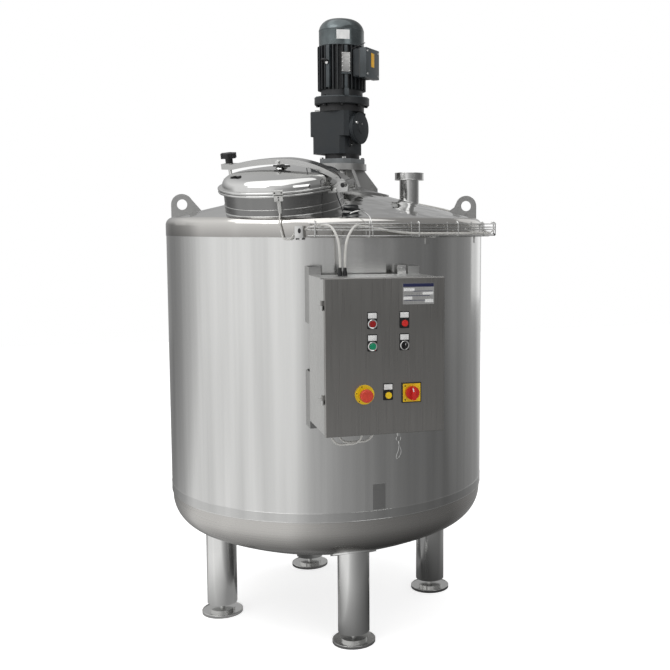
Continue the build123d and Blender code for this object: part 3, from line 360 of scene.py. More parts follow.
CLADDING = rolled_steel("cladding_steel", 0.15, 0.75, streak=9, contrast=0.17, tone=1.10)
SKIRT = rolled_steel("skirt_steel", 0.18, 0.6, streak=9, tone=0.92)
# Dish: its grade is painted shade, darker towards the underside
DISH = rolled_steel("dish_steel", 0.25, 0.4, grain=200, relief=0.00006, grade=(0.30, 0.47, 0.42, 0.88))
# Top band and inner wall: the grade is a painted reflection of the floor, darker low on the band
BAND = rolled_steel("band_steel", 0.12, 0.3, grain=300, grade=(1.462, 1.512, 0.58, 1.0))
NECK = rolled_steel("neck_steel", 0.20, 0.5, grain=300, tone=0.38, contrast=0.10)
LEG = flat_steel("leg_steel", 0.13, (4, 4, 260), contrast=0.06, tone=1.22)
CONE = polished_steel("cone_steel", 0.07, 0.020, 0.95, 6)
MIRROR = polished_steel("mirror_steel", 0.06, 0.0012)
# Door: its dark grade is a painted reflection, darker towards the top of the door
DOOR = flat_steel("door_steel", 0.33, (300, 20, 5), grade=(0.88, 1.22, 0.62, 0.46))
BOX = flat_steel("box_steel", 0.30, (700, 700, 6), contrast=0.04, tone=0.92)
BAR = flat_steel("bar_steel", 0.22, (12, 12, 260), contrast=0.04, tone=0.80)
FITTING = polished_steel("fitting_steel", 0.14, 0.0008)
WIRE = polished_steel("wire_steel", 0.2, 0.0004)
PLATE = flat_steel("plate_steel", 0.36, (12, 260, 260), contrast=0.05, tone=0.62)
ENAMEL = enamel("machine_enamel", (0.017, 0.021, 0.024), 0.55)
PLATE_ENAMEL = enamel("plate_enamel", (0.15, 0.16, 0.165), 0.45)
MOTOR_ENAMEL = enamel("motor_enamel", (0.016, 0.018, 0.020), 0.40)
FAN_ENAMEL = enamel("fan_enamel", (0.11, 0.128, 0.132), 0.20, 0.8)
COVER_ENAMEL = enamel("cover_enamel", (0.045, 0.055, 0.060), 0.36)
BLACK_METAL = enamel("black_metal", (0.012, 0.012, 0.013), 0.45)
BLACK = plastic("black_plastic", (0.012, 0.012, 0.013), 0.42)
RED = plastic("red_plastic", (0.62, 0.02, 0.015), 0.25)
LAMP_RED = plastic("lamp_red", (0.30, 0.008, 0.008), 0.16)
STOP_RED = plastic("stop_red", (0.66, 0.055, 0.03), 0.34)
GREEN = plastic("green_plastic", (0.005, 0.27, 0.13), 0.22)
YELLOW = plastic("yellow_plastic", (0.86, 0.58, 0.01), 0.3)
WHITE = plastic("white_plastic", (0.80, 0.80, 0.79), 0.4)
CLEAR_GREY = plastic("sensor_grey", (0.62, 0.62, 0.60), 0.3)
CABLE = plastic("cable_grey", (0.66, 0.65, 0.62), 0.45, 300)
SILVER = flat_steel("label_silver", 0.32, (700, 40, 40), tone=1.15)
LABEL_BLUE = plastic("label_blue", (0.012, 0.016, 0.075), 0.35)
LABEL_YELLOW = plastic("label_yellow", (0.80, 0.42, 0.01), 0.4)
WOOL = plastic("mineral_wool", (0.45, 0.40, 0.28), 0.9, 200)
RUBBER = plastic("gasket_rubber", (0.06, 0.06, 0.06), 0.6, 300)

# Which solids wear which material
FINISHES = {
    CLADDING: ["cladding"],
    DISH: ["bottom_dish", "inner_dish"],
    BAND: ["top_band", "inner_wall"],
    CONE: ["top_cone"],
    NECK: ["manway_neck", "outlet_pipe"],
    MIRROR: ["manway_lid"],
    LEG: ["leg_front", "leg_right", "leg_rear", "leg_left"],
    PLATE: ["lifting_lugs", "drive_stand", "box_brackets"],
    FITTING: [
        "feet", "junction_box", "nozzle_pipe", "nozzle_union",
        "shaft_seal", "clamp_bolt", "agitator_shaft", "impeller",
    ],
    BAR: ["clamp_fork", "hinge_ears", "lid_arm"],
    WIRE: ["cable_tray"],
    BOX: ["control_box"],
    DOOR: ["control_door"],
    ENAMEL: ["gearbox_housing", "terminal_box"],
    PLATE_ENAMEL: ["gearbox_plate"],
    BLACK_METAL: ["gearbox_collar", "motor_adapter"],
    MOTOR_ENAMEL: ["motor_flange", "motor_body"],
    FAN_ENAMEL: ["fan_cover"],
    BLACK: ["clamp_knob", "panel_fittings", "selector_knob", "cable_glands"],
    CLEAR_GREY: ["lid_magnet", "lid_sensor"],
    LAMP_RED: ["power_lamp"],
    RED: ["stop_button", "switch_knob"],
    STOP_RED: ["estop_button"],
    GREEN: ["start_button"],
    YELLOW: ["reset_button", "estop_base", "switch_plate"],
    SILVER: ["nameplate"],
    CABLE: ["sensor_cable", "feed_cable", "motor_cable", "hanging_loops"],
    WOOL: ["insulation"],
}
for finish, nodes in FINISHES.items():
    for node in nodes:
        for material_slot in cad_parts[node].material_slots:
            material_slot.material = finish


# Mesh helpers
def settle(name, data, material, body):
    """Puts a mesh or curve in the scene as a piece that rides on a body."""
    piece = bpy.data.objects.new(name, data)
    bpy.context.collection.objects.link(piece)
    data.materials.append(material)
    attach(piece, body)
    return piece


@contextmanager
def mesh_piece(name, material, body):
    """A piece from the bmesh that the block under it fills."""
    bm = bmesh.new()
    yield bm
    bmesh.ops.recalc_face_normals(bm, faces=bm.faces)
    mesh = bpy.data.meshes.new(name)
    bm.to_mesh(mesh)
    bm.free()
    mesh.shade_smooth()
    mesh.set_sharp_from_angle(angle=SHARP_EDGE)
    settle(name, mesh, material, body)


def lathe(bm, matrix, profile, steps=48):
    """Adds a body of revolution: profile is (radius, height) pairs, closed at the axis."""
    rings = []
    for radius, height in profile:
        if radius == 0:
            rings.append([bm.verts.new(matrix @ Vector((0, 0, height)))])
            continue
        turns = [2 * pi * k / steps for k in range(steps)]
        rings.append([
            bm.verts.new(matrix @ Vector((radius * cos(turn), radius * sin(turn), height))) for turn in turns
        ])
    for low, high in zip(rings, rings[1:]):
        for k in range(steps):
            after = (k + 1) % steps
            corners = [low[k % len(low)], low[after % len(low)], high[after % len(high)], high[k % len(high)]]
            unique = list(dict.fromkeys(corners))
            if len(unique) > 2:
                bm.faces.new(unique)


def stud(bm, matrix, radius, foot, height, steps=16, shoulder=None):
    """Adds a low round head: radius at its top and foot at its base, domed from a shoulder if it has one."""
    lathe(bm, matrix, [(0, height), (radius, shoulder or height), (foot, 0)], steps)


def collar(bm, matrix, inner, outer, low, high, steps):
    """Adds a flat-sided ring."""
    lathe(bm, matrix, [(inner, low), (outer, low), (outer, high), (inner, high), (inner, low)], steps)


def block(bm, matrix, size, bevel=0.0):
    """Adds a box centred on a placement, with rounded edges."""
    made = bmesh.ops.create_cube(bm, size=1, matrix=matrix @ Matrix.Diagonal((*size, 1)))
    if bevel:
        edges = list({edge for vert in made["verts"] for edge in vert.link_edges})
        bmesh.ops.bevel(bm, geom=edges, offset=bevel, segments=2, affect="EDGES", profile=0.7)


def bolt(bm, matrix, size):
    """Adds a hexagon head on a washer; size is the thread."""
    washer = size * 0.16
    head = size * 0.6
    lathe(bm, matrix, [(0, 0), (size * 1.05, 0), (size * 1.05, washer), (0, washer)], 24)
    middle = matrix @ local(0, 0, washer) @ local(0, 0, head / 2)
    bmesh.ops.create_cone(
        bm, cap_ends=True, segments=6, radius1=size * 0.9, radius2=size * 0.9, depth=head, matrix=middle
    )


def ring(bm, matrix, radius, minor, steps=96):
    """Adds a round wire ring."""
    around = 10
    turns = [2 * pi * k / around for k in range(around + 1)]
    lathe(bm, matrix, [(radius + minor * cos(turn), minor * sin(turn)) for turn in turns], steps)
    bmesh.ops.remove_doubles(bm, verts=bm.verts, dist=1e-6)


def curved_plate(bm, inner, outer, start, end, low, high, centre=(0, 0, 0)):
    """Adds a plate bent round an upright axis, between two azimuths."""
    steps = 14
    corners = [(inner, low), (outer, low), (outer, high), (inner, high)]
    loops = []
    for k in range(steps + 1):
        azimuth = start + (end - start) * k / steps
        spots = [Vector(centre) + polar(radius, azimuth, height) for radius, height in corners]
        loops.append([bm.verts.new(spot) for spot in spots])
    for first, second in zip(loops, loops[1:]):
        for k in range(4):
            bm.faces.new([first[k], first[(k + 1) % 4], second[(k + 1) % 4], second[k]])
    bm.faces.new(loops[0])
    bm.faces.new(list(reversed(loops[-1])))


def wire(name, points, radius, material, body, order=3, cyclic=False):
    """A round wire along a smooth curve through a few guide points."""
    curve = bpy.data.curves.new(name, "CURVE")
    curve.dimensions = "3D"
    curve.bevel_depth = radius
    curve.bevel_resolution = 3
    curve.resolution_u = 8
    curve.use_fill_caps = True
    spline = curve.splines.new("NURBS")
    spline.points.add(len(points) - 1)
    for point, place in zip(spline.points, points):
        point.co = (*place, 1)
    spline.order_u = order
    spline.use_endpoint_u = not cyclic
    spline.use_cyclic_u = cyclic
    return settle(name, curve, material, body)


def wire_in(matrix, name, radius, material, body, points):
    """A wire whose points are in a local frame."""
    wire(name, [matrix @ Vector(point) for point in points], radius, material, body)


def cone_seam(name, matrix, radius, bead):
    """A weld bead where a pipe meets the cone, found by stepping along the pipe."""
    steps = 64
    points = []
    for k in range(steps):
        turn = 2 * pi * k / steps
        height = 0
        for _ in range(6):
            spot = matrix @ Vector((radius * cos(turn), radius * sin(turn), height))
            height -= spot.z - cone_z(spot.xy.length)
        points.append(spot)
    wire(name, points, bead, FITTING, "tank", cyclic=True)


# Welds and seams on the vessel
with mesh_piece("seam_welds", MIRROR, "tank") as seams:
    ring(seams, upright(WELD_Z), CLADDING_R - 0.0015, 0.0022, VESSEL_STEPS)
    ring(seams, upright(SEAM_Z), CLADDING_R + 0.0002, 0.0008, VESSEL_STEPS)
    ring(seams, upright(BAND_Z - 0.0008), CLADDING_R + 0.0002, 0.0010, VESSEL_STEPS)
    ring(seams, MANWAY @ local(0, 0, 0.014), NECK_R + 0.0008, 0.0012, COVER_STEPS)
with mesh_piece("dish_skirt", SKIRT, "tank") as skirt:
    low = WELD_Z + 0.0015
    high = SEAM_Z - 0.0007
    collar(skirt, upright(0), CLADDING_R - 0.001, CLADDING_R + 0.0005, low, high, VESSEL_STEPS)
cone_seam("manway_weld", MANWAY, NECK_R + 0.0015, 0.0022)
cone_seam("nozzle_weld", upright(0, NOZZLE), 0.0388, 0.0018)

# Dull patch of an old label on the cladding
with mesh_piece("label_mark", PLATE, "tank") as patch:
    curved_plate(patch, CLADDING_R - 0.001, CLADDING_R + 0.0003, 2.7, 7.0, 0.533, 0.621)

# Cover: rolled rim, flange rim, gasket, fittings of the arm, a black strip of painted shade under the arm,
# heads of the pins and bolts
with mesh_piece("cover_rim", MIRROR, "manway_cover") as rim:
    ring(rim, MANWAY @ local(0, 0, 0.0712), 0.2192, 0.0042, COVER_STEPS)
with mesh_piece("flange_rim", MIRROR, "tank") as rim:
    ring(rim, MANWAY @ local(0, 0, 0.0614), 0.2188, 0.0040, COVER_STEPS)
with mesh_piece("cover_gasket", RUBBER, "manway_cover") as gasket:
    collar(gasket, MANWAY, 0.2060, 0.2215, 0.0656, 0.0668, 120)
with mesh_piece("arm_bolts", FITTING, "manway_cover") as bolts:
    for out in (-1, 1):
        bolt(bolts, side(MANWAY, 0, 0.018 * out, 0.146, (0, out, 0)), 0.008)
    washer_profile = [(0, 0), (0.022, 0), (0.019, 0.004), (0.0145, 0.007), (0, 0.007)]
    lathe(bolts, MANWAY @ local(0, 0, 0.1235), washer_profile, 32)
# Painted shade: a black strip on the arm's side stands for the shade of the gap under the arm
with mesh_piece("arm_gap_shade", BLACK, "manway_cover") as strip:
    block(strip, MANWAY @ local(0.014, -0.0165, 0.1335), (0.070, 0.004, 0.006), 0.001)
with mesh_piece("cover_tag", SILVER, "manway_cover") as tag:
    block(tag, side(MANWAY, 0.03, -0.12, 0.1165, (0, -0.1, 1)), (0.022, 0.014, 0.001), 0.0004)
with mesh_piece("hinge_pin_heads", BLACK_METAL, "manway_cover") as pins:
    for out in (-1, 1):
        head_profile = [(0, 0.003), (0.006, 0.003), (0.0082, 0.0015), (0.0082, 0)]
        lathe(pins, side(MANWAY, HINGE_X, 0.0342 * out, PIVOT_Z, (0, out, 0)), head_profile, 28)
with mesh_piece("ear_bolts", FITTING, "tank") as bolts:
    for out in (-1, 1):
        bolt(bolts, side(MANWAY, 0.232, 0.027 * out, 0.058, (0, out, 0)), 0.007)
        bolt(bolts, side(MANWAY, CLAMP_X, 0.017 * out, 0.056, (0, out, 0)), 0.008)

# Strap, lanyard, rod and cord round the cover
for name, radius, material, body, points in (
    (
        "hinge_strap", 0.0022, BLACK, "manway_cover",
        ((0.205, -0.012, 0.118), (0.222, -0.026, 0.128), (0.245, -0.030, 0.120), (0.262, -0.031, 0.098)),
    ),
    (
        "cover_lanyard", 0.0018, BLACK, "tank",
        ((0.238, -0.031, 0.052), (0.246, -0.034, 0.030), (0.256, -0.036, 0.010), (0.262, -0.037, -0.010)),
    ),
    (
        "fork_rod", 0.0022, FITTING, "tank",
        (
            (-0.2215, -0.019, 0.040), (-0.222, -0.0195, 0.015),
            (-0.222, -0.020, -0.004), (-0.214, -0.020, -0.014),
        ),
    ),
    (
        "cover_cord", 0.0018, BLACK, "manway_cover",
        ((0.12, -0.020, 0.128), (0.150, -0.060, 0.112), (0.170, -0.085, 0.098), (0.186, -0.105, 0.080)),
    ),
):
    wire_in(MANWAY, name, radius, material, body, points)

# Cover switch: its screws, its magnet's and the sleeve of its cable
with mesh_piece("switch_screws", BLACK_METAL, "tank") as screws:
    for height in (0.052, 0.060):
        stud(screws, side(SENSOR, SENSOR_FACE, 0, height, (1, 0, 0)), 0.0022, 0.0026, 0.0012)
with mesh_piece("magnet_screws", BLACK_METAL, "manway_cover") as screws:
    for across in (-0.011, 0.011):
        stud(screws, side(SENSOR, SENSOR_FACE, across, 0.075, (1, 0, 0)), 0.0022, 0.0026, 0.0012)
with mesh_piece("switch_sleeve", CLEAR_GREY, "tank") as sleeve:
    sleeve_profile = [(0, 0.0465), (0.0068, 0.0465), (0.0062, 0.018), (0.0048, 0.006), (0, 0.006)]
    lathe(sleeve, SENSOR @ local(0.227, 0, 0), sleeve_profile, 24)

# Cap in the clamp knob's hub
with mesh_piece("knob_cap", BLACK, "clamp_knob") as cap:
    cap_profile = [(0, 0.0022), (0.010, 0.0022), (0.0135, 0.0012), (0.0145, 0)]
    lathe(cap, MANWAY @ local(CLAMP_X, 0, 0.1722), cap_profile, 36)

# Motor: sticker, riveted plate, straps and wide ribs, eye, flange bolts, edges
with mesh_piece("fan_sticker", WHITE, "tank") as sticker:
    curved_plate(sticker, FAN_R - 0.0005, FAN_R + 0.0006, -25, 8, 2.192, 2.226, DRIVE)
with mesh_piece("motor_plate", PLATE, "tank") as plate:
    block(plate, radial(MOTOR_FRONT, 0.0952, PLATE_Z, DRIVE), (0.032, 0.072, 0.0016), 0.0004)
with mesh_piece("plate_rivets", FITTING, "tank") as rivets:
    plate_face = radial(MOTOR_FRONT, 0.096, PLATE_Z, DRIVE)
    for out in (-1, 1):
        for row in range(-2, 3):
            spot = plate_face @ local(0.0135 * out, 0.016 * row, 0)
            stud(rivets, spot, 0.0026, 0.0034, 0.0022, 14, 0.0014)
        for up in (-0.042, 0.042):
            stud(rivets, TERMINAL @ local(0.0432 * out, up, 0.0005), 0.0035, 0.004, 0.003, 14, 0.002)
with mesh_piece("motor_straps", COVER_ENAMEL, "tank") as straps:
    block(straps, radial(MOTOR_FRONT, 0.0935, 2.156, DRIVE), (0.011, 0.026, 0.004), 0.0006)
    block(straps, radial(MOTOR_FRONT, 0.0935, 2.036, DRIVE), (0.011, 0.064, 0.004), 0.0006)
    for azimuth in (-47, 180, 120):
        block(straps, radial(azimuth, 0.0885, 2.0925, DRIVE), (0.015, 0.155, 0.012), 0.0015)
    block(straps, radial(MOTOR_FRONT, 0.1035, 1.9945, DRIVE), (0.016, 0.028, 0.010), 0.001)
    block(straps, radial(MOTOR_FRONT, 0.0950, 2.065, DRIVE), (0.036, 0.007, 0.006), 0.001)
with mesh_piece("motor_eye", BLACK_METAL, "tank") as eye:
    ring(eye, radial(-51.6, 0.0995, 2.111, DRIVE) @ turned(70, "X"), 0.0125, 0.0036, 32)
with mesh_piece("motor_eye_nut", FITTING, "tank") as nut:
    stud(nut, radial(-47, 0.0945, 2.105, DRIVE), 0.006, 0.0075, 0.007, 24, 0.006)
with mesh_piece("flange_bolts", BLACK_METAL, "tank") as bolts:
    for k in range(8):
        azimuth = -57.6 + 45 * k
        out = polar(1, azimuth)
        underside = radial(azimuth, 0.0925, FLANGE_Z - 0.0002, DRIVE).translation
        bolt(bolts, frame_matrix(underside, out, -UP), 0.008)
        bolt(bolts, frame_matrix(underside + UP * 0.0292, out, UP), 0.007)
with mesh_piece("motor_edges", COVER_ENAMEL, "tank") as edges:
    ring(edges, upright(FLANGE_TOP_Z - 0.003, DRIVE), 0.1025, 0.003, 120)
    ring(edges, upright(FAN_Z - 0.001, DRIVE), FAN_R - 0.0015, 0.0020, 100)
    ring(edges, upright(BODY_TOP_Z + 0.0015, DRIVE), FAN_R - 0.0010, 0.0018, 100)

# Terminal box: cover, label, seal, entry rod
with mesh_piece("terminal_cover", COVER_ENAMEL, "tank") as cover:
    block(cover, TERMINAL @ local(0, 0, -0.013), (0.106, 0.110, 0.028), 0.004)
with mesh_piece("terminal_label", LABEL_YELLOW, "tank") as label:
    block(label, TERMINAL @ local(-0.002, 0.012, 0.0013), (0.024, 0.052, 0.0008), 0.0002)
with mesh_piece("terminal_seal", RUBBER, "tank") as seal:
    block(seal, TERMINAL @ local(0, 0, -0.029), (0.102, 0.107, 0.003), 0.0008)
rod_points = (
    (-0.052, 0.050, -0.062), (-0.054, 0.062, -0.030), (-0.054, 0.066, -0.012), (-0.052, 0.070, -0.004),
)
wire_in(TERMINAL, "terminal_rod", 0.0016, BLACK_METAL, "tank", rod_points)

# Gearbox: cast rib, round cover, plugs and screws, bolts of its plate
rib_points = (
    (0.0500, -0.030, 1.822), (0.0505, -0.036, 1.806), (0.0505, -0.024, 1.795), (0.0500, -0.012, 1.798),
)
wire_in(GEAR, "gearbox_arc", 0.0022, ENAMEL, "tank", rib_points)
with mesh_piece("gearbox_cap", ENAMEL, "tank") as cap:
    disc_profile = [(0, GEAR_CAP), (0.050, GEAR_CAP), (0.0545, GEAR_CAP / 2), (0.055, 0)]
    lathe(cap, side(GEAR, GEAR_FACE, 0, GEAR_AXIS_Z, (1, 0, 0)), disc_profile, 64)
    stud(cap, side(GEAR, GEAR_FACE + GEAR_CAP, 0, GEAR_AXIS_Z, (1, 0, 0)), 0.018, 0.020, 0.0022, 36)
with mesh_piece("gearbox_plugs", FITTING, "tank") as plugs:
    for x, y, z, radius, foot, steps in (
        (GEAR_FACE + GEAR_CAP, -0.034, 1.885, 0.0055, 0.0065, 20),
        (GEAR_FACE + GEAR_CAP, 0.0, 1.882, 0.003, 0.0035, 16),
        (0.0497, -0.016, 1.806, 0.004, 0.005, 16),
    ):
        stud(plugs, side(GEAR, x, y, z, (1, 0, 0)), radius, foot, 0.004, steps)
    bolt(plugs, GEAR @ local(-0.075, -0.060, GEAR_TOP_Z), 0.009)
    bolt(plugs, GEAR @ local(-0.060, -0.066, GEAR_TOP_Z), 0.006)
with mesh_piece("plate_bolts", FITTING, "tank") as bolts:
    for azimuth in (-8, 82, 172, 262):
        spot = radial(azimuth, 0.0785, 1.7502, DRIVE).translation
        bolt(bolts, frame_matrix(spot, polar(1, azimuth), UP), 0.008)

# Shaft seal: bright rings and a grease fitting
with mesh_piece("seal_rings", MIRROR, "tank") as seal:
    for height in (1.646, 1.660, 1.694):
        ring(seal, upright(height, DRIVE), 0.0362, 0.0014, 64)
    bolt(seal, radial(-10, 0.0362, 1.672, DRIVE), 0.007)

# Nozzle union: grooves of its clamp nut
with mesh_piece("union_rims", MIRROR, "tank") as rims:
    for height in (1.673, 1.698):
        ring(rims, upright(height, NOZZLE), 0.0555, 0.0016, 64)

# Cable tray of round wires, in place of the plain one: radius and height of each rail
RAILS = (
    (0.6550, 1.5030), (0.6545, 1.4910), (0.6545, 1.4820), (0.6550, 1.4630),
    (0.6310, 1.4630), (0.6100, 1.4630), (0.6100, 1.5030),
)
CROSS_SECTION = (
    (0.6075, 1.510), (0.6085, 1.480), (0.6085, 1.4605), (0.632, 1.4602), (0.6565, 1.4605),
    (0.6568, 1.485), (0.6565, 1.5055), (0.6500, 1.5105), (0.6455, 1.5040),
)
rails = [
    wire("tray_rail", arc(radius, TRAY_START, TRAY_END, height, 48), TRAY_WIRE_R, WIRE, "tank")
    for radius, height in RAILS
]
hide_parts("cable_tray")
for k in range(8):
    bend = [polar(radius, TRAY_START + 2 + CROSS_PITCH * k, height) for radius, height in CROSS_SECTION]
    wire("tray_cross", bend, TRAY_WIRE_R, WIRE, "tank", order=2)
with mesh_piece("tray_brackets", FITTING, "tank") as brackets:
    for k in range(4):
        azimuth = TRAY_START + 10 + 30 * k
        block(brackets, radial(azimuth, 0.6265, 1.4585), (0.018, 0.003, 0.055), 0.0006)
        block(brackets, radial(azimuth, 0.6015, 1.4470), (0.018, 0.026, 0.003), 0.0006)
with mesh_piece("cable_ties", BLACK, "tank") as ties:
    for azimuth, height in ((99.5, 1.503), (99.5, 1.484), (97.5, 1.463), (61, 1.4635)):
        block(ties, radial(azimuth, 0.6545, height), (0.010, 0.009, 0.008), 0.002)
hook_points = (
    (0.6555, 1.5, 1.463), (0.6555, 1.5, 1.512), (0.600, 0.6, 1.541),
    (0.560, -1.5, 1.548), (0.552, -3.5, 1.536),
)
wire("tray_hook", [polar(*point) for point in hook_points], TRAY_WIRE_R, WIRE, "tank")
spare_points = [polar(0.650, 36 + 2.6 * k, 1.484 - 0.016 * sin(pi * k / 11)) for k in range(12)]
wire("tray_spare_cable", spare_points, 0.0026, CABLE, "tank")

# Junction box on the rim: lid, entry and feet
with mesh_piece("junction_lid", MIRROR, "tank") as lid:
    block(lid, JUNCTION @ local(0, 0, 0.0004), (0.027, 0.037, 0.0022), 0.0008)
with mesh_piece("junction_entry", BLACK_METAL, "tank") as entry:
    oval = Matrix.Diagonal((0.8, 1.3, 1, 1))
    stud(entry, JUNCTION @ local(0.002, 0.004, 0.0014) @ oval, 0.0055, 0.0065, 0.0008, 28)
    for across in (-0.010, 0.010):
        block(entry, JUNCTION @ local(across, -0.0225, -0.018), (0.005, 0.005, 0.012), 0.001)

# Control door: bezels, legend plates, marks on the switches
with mesh_piece("bezels", MIRROR, "box_door") as bezels:
    bezel_profile = [
        (0.0107, 0), (0.0107, 0.0030), (0.0125, 0.0036), (0.0146, 0.0022), (0.0150, 0), (0.0107, 0),
    ]
    for name in ("lamp", "start", "selector"):
        lathe(bezels, panel(STATIONS[name], 0.0045), bezel_profile)
with mesh_piece("legends", WHITE, "box_door") as legends:
    for x, z in STATIONS.values():
        block(legends, panel((x, z + 0.0252), 0.0018), (0.0265, 0.0165, 0.0008), 0.0002)
with mesh_piece("switch_pointer", WHITE, "main_switch") as pointer:
    slanted = panel(MAIN_SWITCH, 0.0330) @ turned(14, "Z")
    block(pointer, slanted @ local(0, 0.0125, 0.0007), (0.0030, 0.0125, 0.0008), 0.0002)
with mesh_piece("selector_grip", BLACK, "selector") as grip:
    block(grip, panel(STATIONS["selector"], 0.0128), (0.005, 0.017, 0.005), 0.001)
with mesh_piece("selector_mark", WHITE, "selector") as mark:
    mark_place = panel(STATIONS["selector"], 0.0154) @ local(0, 0.0045, 0)
    block(mark, mark_place, (0.0012, 0.006, 0.0006), 0.0001)
with mesh_piece("estop_ring", RED, "emergency_stop") as stop_face:
    ring(stop_face, panel(EMERGENCY_STOP, 0.0352), 0.0125, 0.0006, 48)

# Black edge and screws of the main switch, screws of the emergency stop
with mesh_piece("switch_edge", BLACK, "box_door") as edge:
    switch_face = panel(MAIN_SWITCH, 0.0026)
    for x, y, width, height in (
        (0, 0.0295, 0.061, 0.003), (0, -0.0295, 0.061, 0.003),
        (-0.0295, 0, 0.003, 0.061), (0.0295, 0, 0.003, 0.061),
    ):
        block(edge, switch_face @ local(x, y, 0), (width, height, 0.0052), 0.0006)
    for y in (0.021, -0.022):
        stud(edge, panel(MAIN_SWITCH, 0.0050) @ local(-0.021, y, 0), 0.002, 0.0024, 0.0008)
    for k in range(3):
        turn = radians(110 + 60 * k)
        spot = panel(EMERGENCY_STOP, 0.0030) @ local(0.0255 * cos(turn), 0.0255 * sin(turn), 0)
        stud(edge, spot, 0.0016, 0.0018, 0.0005, 12)

# Nameplate: a bar, three plain lines and four pale fields
with mesh_piece("nameplate_print", LABEL_BLUE, "box_door") as bars:
    block(bars, panel(NAMEPLATE, 0.0013) @ local(0, 0.0265, 0), (0.098, 0.0105, 0.0007), 0.0001)
    for row, (x, width) in enumerate(((0.014, 0.062), (-0.004, 0.080), (-0.012, 0.066))):
        line_place = panel(NAMEPLATE, 0.0012) @ local(x, 0.008 - 0.014 * row, 0)
        block(bars, line_place, (width, 0.0016, 0.0005))
with mesh_piece("nameplate_fields", WHITE, "box_door") as fields:
    for x, y, width, height in (
        (-0.030, 0.013, 0.034, 0.009), (0.030, 0.001, 0.034, 0.008),
        (-0.034, -0.013, 0.028, 0.009), (0.034, -0.022, 0.026, 0.010),
    ):
        block(fields, panel(NAMEPLATE, 0.0012) @ local(x, y, 0), (width, height, 0.0005))

# Control box: rain lip, lock with two links and a wire loop, hanging ear
with mesh_piece("rain_lip", BAR, "tank") as lip:
    block(lip, local(-0.011, -0.8870, 1.3395), (0.386, 0.005, 0.0035), 0.0008)
with mesh_piece("door_lock", FITTING, "box_door") as lock:
    block(lock, local(LOCK_X, LOCK_Y, 0.8555), (0.010, 0.014, 0.010), 0.001)
    ring(lock, local(LOCK_X, LOCK_Y, 0.842) @ turned(90, "X") @ turned(20, "Y"), 0.0085, 0.0014, 32)
    ring(lock, local(LOCK_X + 0.001, LOCK_Y, 0.828) @ turned(80, "X") @ turned(70, "Y"), 0.0080, 0.0012, 32)
loop_points = (
    (0.000, 0, 0.822), (0.007, 0, 0.812), (0.009, 0, 0.798), (0.003, 0, 0.784),
    (-0.008, 0, 0.776), (-0.006, 0, 0.792), (0.001, 0, 0.806), (0.001, 0, 0.821),
)
wire_in(local(LOCK_X, LOCK_Y, 0), "lock_loop", 0.0011, FITTING, "box_door", loop_points)
with mesh_piece("hanging_ear", FITTING, "tank") as ear:
    block(ear, local(0.118, -0.642, 1.350), (0.030, 0.004, 0.030), 0.001)
    bolt(ear, side(upright(0), 0.118, -0.6442, 1.353, (0, -1, 0)), 0.008)

# Black ends of the two cables above the box
with mesh_piece("cable_ends", BLACK, "tank") as ends:
    for x in (-0.106, -0.090):
        lathe(ends, local(x, -0.715, 1.352), [(0, 0.012), (0.0052, 0.012), (0.0058, 0), (0, 0)], 20)

# Bright rims of the feet
with mesh_piece("foot_rims", MIRROR, "tank") as rims:
    for azimuth in LEG_AZIMUTHS:
        ring(rims, upright(0.0095, polar(LEG_CIRCLE, azimuth)), 0.0760, 0.0018, 80)

# Studio: the grey that metal mirrors, by azimuth, in a hall bright on the left and dim in front on the right
HALL = [
    (-180, 0.32), (-152, 0.22), (-136, 0.34), (-122, 0.52), (-110, 0.92), (-84, 0.92), (-77, 1.0),
    (-70, 0.92), (-34, 0.92), (-24, 0.62), (-12, 0.46), (4, 0.32), (20, 0.24), (45, 0.18),
    (75, 0.15), (88, 0.22), (110, 0.30), (126, 0.34), (138, 0.55), (156, 0.60), (180, 0.30),
]
FLOOR_REACH = 9
FLOOR_DROP = 0.0005
FLOOR_GLOW = 0.7
ROOM_LIGHT = 0.56


def grey(level):
    return (level, level, level, 1)


def hall_grey(graph, vector):
    """The hall's grey level in the direction of a vector, as a colour."""
    direction = graph.split(vector)
    ahead = graph.add("Math", {0: direction["Y"], 1: -1}, operation="MULTIPLY")[0]
    around = graph.add("Math", {0: direction["X"], 1: ahead}, operation="ARCTAN2")[0]
    ramp = graph.nodes.new("ShaderNodeValToRGB")
    graph.feed(ramp, {"Fac": graph.spread(around, 0, 1, -pi, pi)})
    elements = ramp.color_ramp.elements
    for azimuth, level in HALL[1:-1]:
        elements.new((azimuth + 180) / 360).color = grey(level)
    elements[0].color = grey(HALL[0][1])
    elements[-1].color = grey(HALL[-1][1])
    return ramp.outputs["Color"]


def floor_paper():
    """White paper for the camera, which keeps the shadow, and the hall's floor for metal that mirrors it,
    with a painted shadow darkening that mirrored floor near the tank.
    """
    paper = Shader("floor_paper", (0.8, 0.8, 0.8), 0.0, 0.9)
    seen = paper.add("LightPath", {})
    glow = paper.add("Math", {0: seen["Is Camera Ray"], 1: FLOOR_GLOW}, operation="MULTIPLY")[0]
    paper.feed(paper.bsdf, {"Emission Color": grey(1), "Emission Strength": glow})
    reach = paper.add("VectorMath", {0: paper.coordinates}, operation="LENGTH")["Value"]
    # Painted shadow: the floor that metal mirrors glows less near the tank
    painted_floor_shadow = paper.spread(reach, 0.30, 0.92, 0.40, 1.05)
    hall = hall_grey(paper, paper.coordinates)
    mirrored = paper.add("Emission", {"Color": hall, "Strength": painted_floor_shadow})["Emission"]
    surfaces = {0: seen["Is Glossy Ray"], 1: paper.bsdf.outputs["BSDF"], 2: mirrored}
    paper.feed(paper.nodes["Material Output"], {"Surface": paper.add("MixShader", surfaces)["Shader"]})
    return paper.material


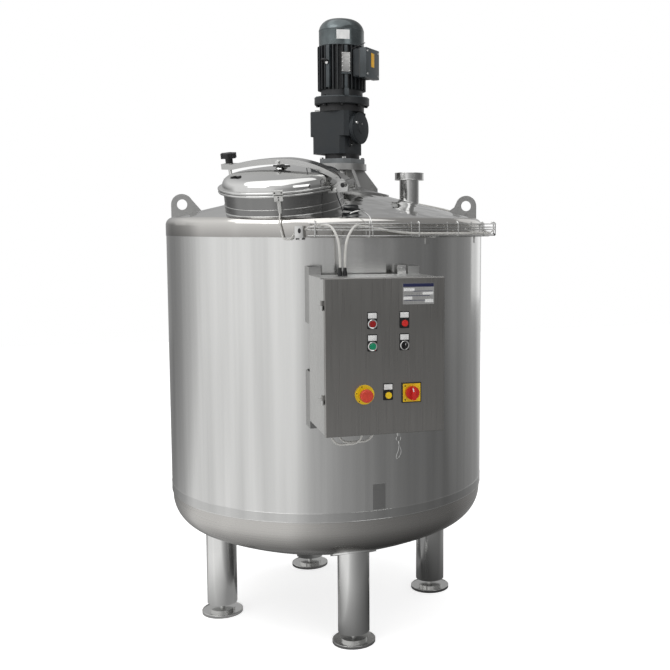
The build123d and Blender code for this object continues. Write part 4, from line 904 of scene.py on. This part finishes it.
floor_mesh = bpy.data.meshes.new("floor")
floor_corners = [(x * FLOOR_REACH, y * FLOOR_REACH, 0) for x, y in ((-1, -1), (1, -1), (1, 1), (-1, 1))]
floor_mesh.from_pydata(floor_corners, [], [(0, 1, 2, 3)])
floor_mesh.materials.append(floor_paper())
floor = bpy.data.objects.new("floor", floor_mesh)
floor.location.z = -FLOOR_DROP
bpy.context.collection.objects.link(floor)

# World: white for the camera, the hall under a sloping grey ceiling for mirror rays, even grey for the rest
world = bpy.data.worlds.new("studio")
bpy.context.scene.world = world
world.use_nodes = True
room = Graph(world.node_tree)
path = room.add("LightPath", {})
direction = room.add("TexCoord", {})["Generated"]
axes = room.split(direction)
overhead = room.spread(axes["Z"], 0, 1, 0.04, 0.42)
ceiling = room.spread(axes["X"], 0.95, 0.30, -0.75, 0.45)
mirrored = room.blend(overhead, hall_grey(room, direction), ceiling)
unseen = room.blend(path["Is Glossy Ray"], grey(ROOM_LIGHT), mirrored)
room.feed(room.nodes["Background"], {"Color": room.blend(path["Is Camera Ray"], unseen, grey(1))})


def lamp(name, place, size, power, target=(0, 0, 1.2)):
    """A rectangular soft light aimed at a point."""
    light = bpy.data.lights.new(name, "AREA")
    light.shape = "RECTANGLE"
    light.size, light.size_y = size
    light.energy = power
    piece = bpy.data.objects.new(name, light)
    piece.location = place
    piece.rotation_euler = (Vector(target) - Vector(place)).to_track_quat("-Z", "Y").to_euler()
    bpy.context.collection.objects.link(piece)


lamp("key_light", (-2.8, -1.6, 4.2), (2.4, 2.4), 30)
lamp("fill_light", (1.6, -4.6, 3.4), (2.6, 1.8), 22)
lamp("top_light", (-0.8, -0.6, 4.8), (4.5, 4.5), 60)
lamp("rim_light", (3.0, 2.0, 2.2), (1.8, 2.6), 6, target=(0, 0, 1.4))

# Camera at the photograph's eye, with its frame shifted off the tank's middle
HEADING = radians(18.33)
PITCH = 0.0984
ROLL = 0.003
camera_data = bpy.data.cameras.new("camera")
camera_data.sensor_width = 36
camera_data.lens = 52.34
camera_data.shift_x = -0.157
camera_data.shift_y = -0.022
camera = bpy.data.objects.new("camera", camera_data)
camera.location = (-0.775, -3.745, 1.502)
heading = Matrix.Rotation(-HEADING, 3, "Z")
pitch = Matrix.Rotation(pi / 2 - PITCH, 3, "X")
camera.rotation_euler = (heading @ pitch @ Matrix.Rotation(ROLL, 3, "Z")).to_euler()
bpy.context.collection.objects.link(camera)
bpy.context.scene.camera = camera
bpy.context.scene.view_settings.view_transform = "Standard"
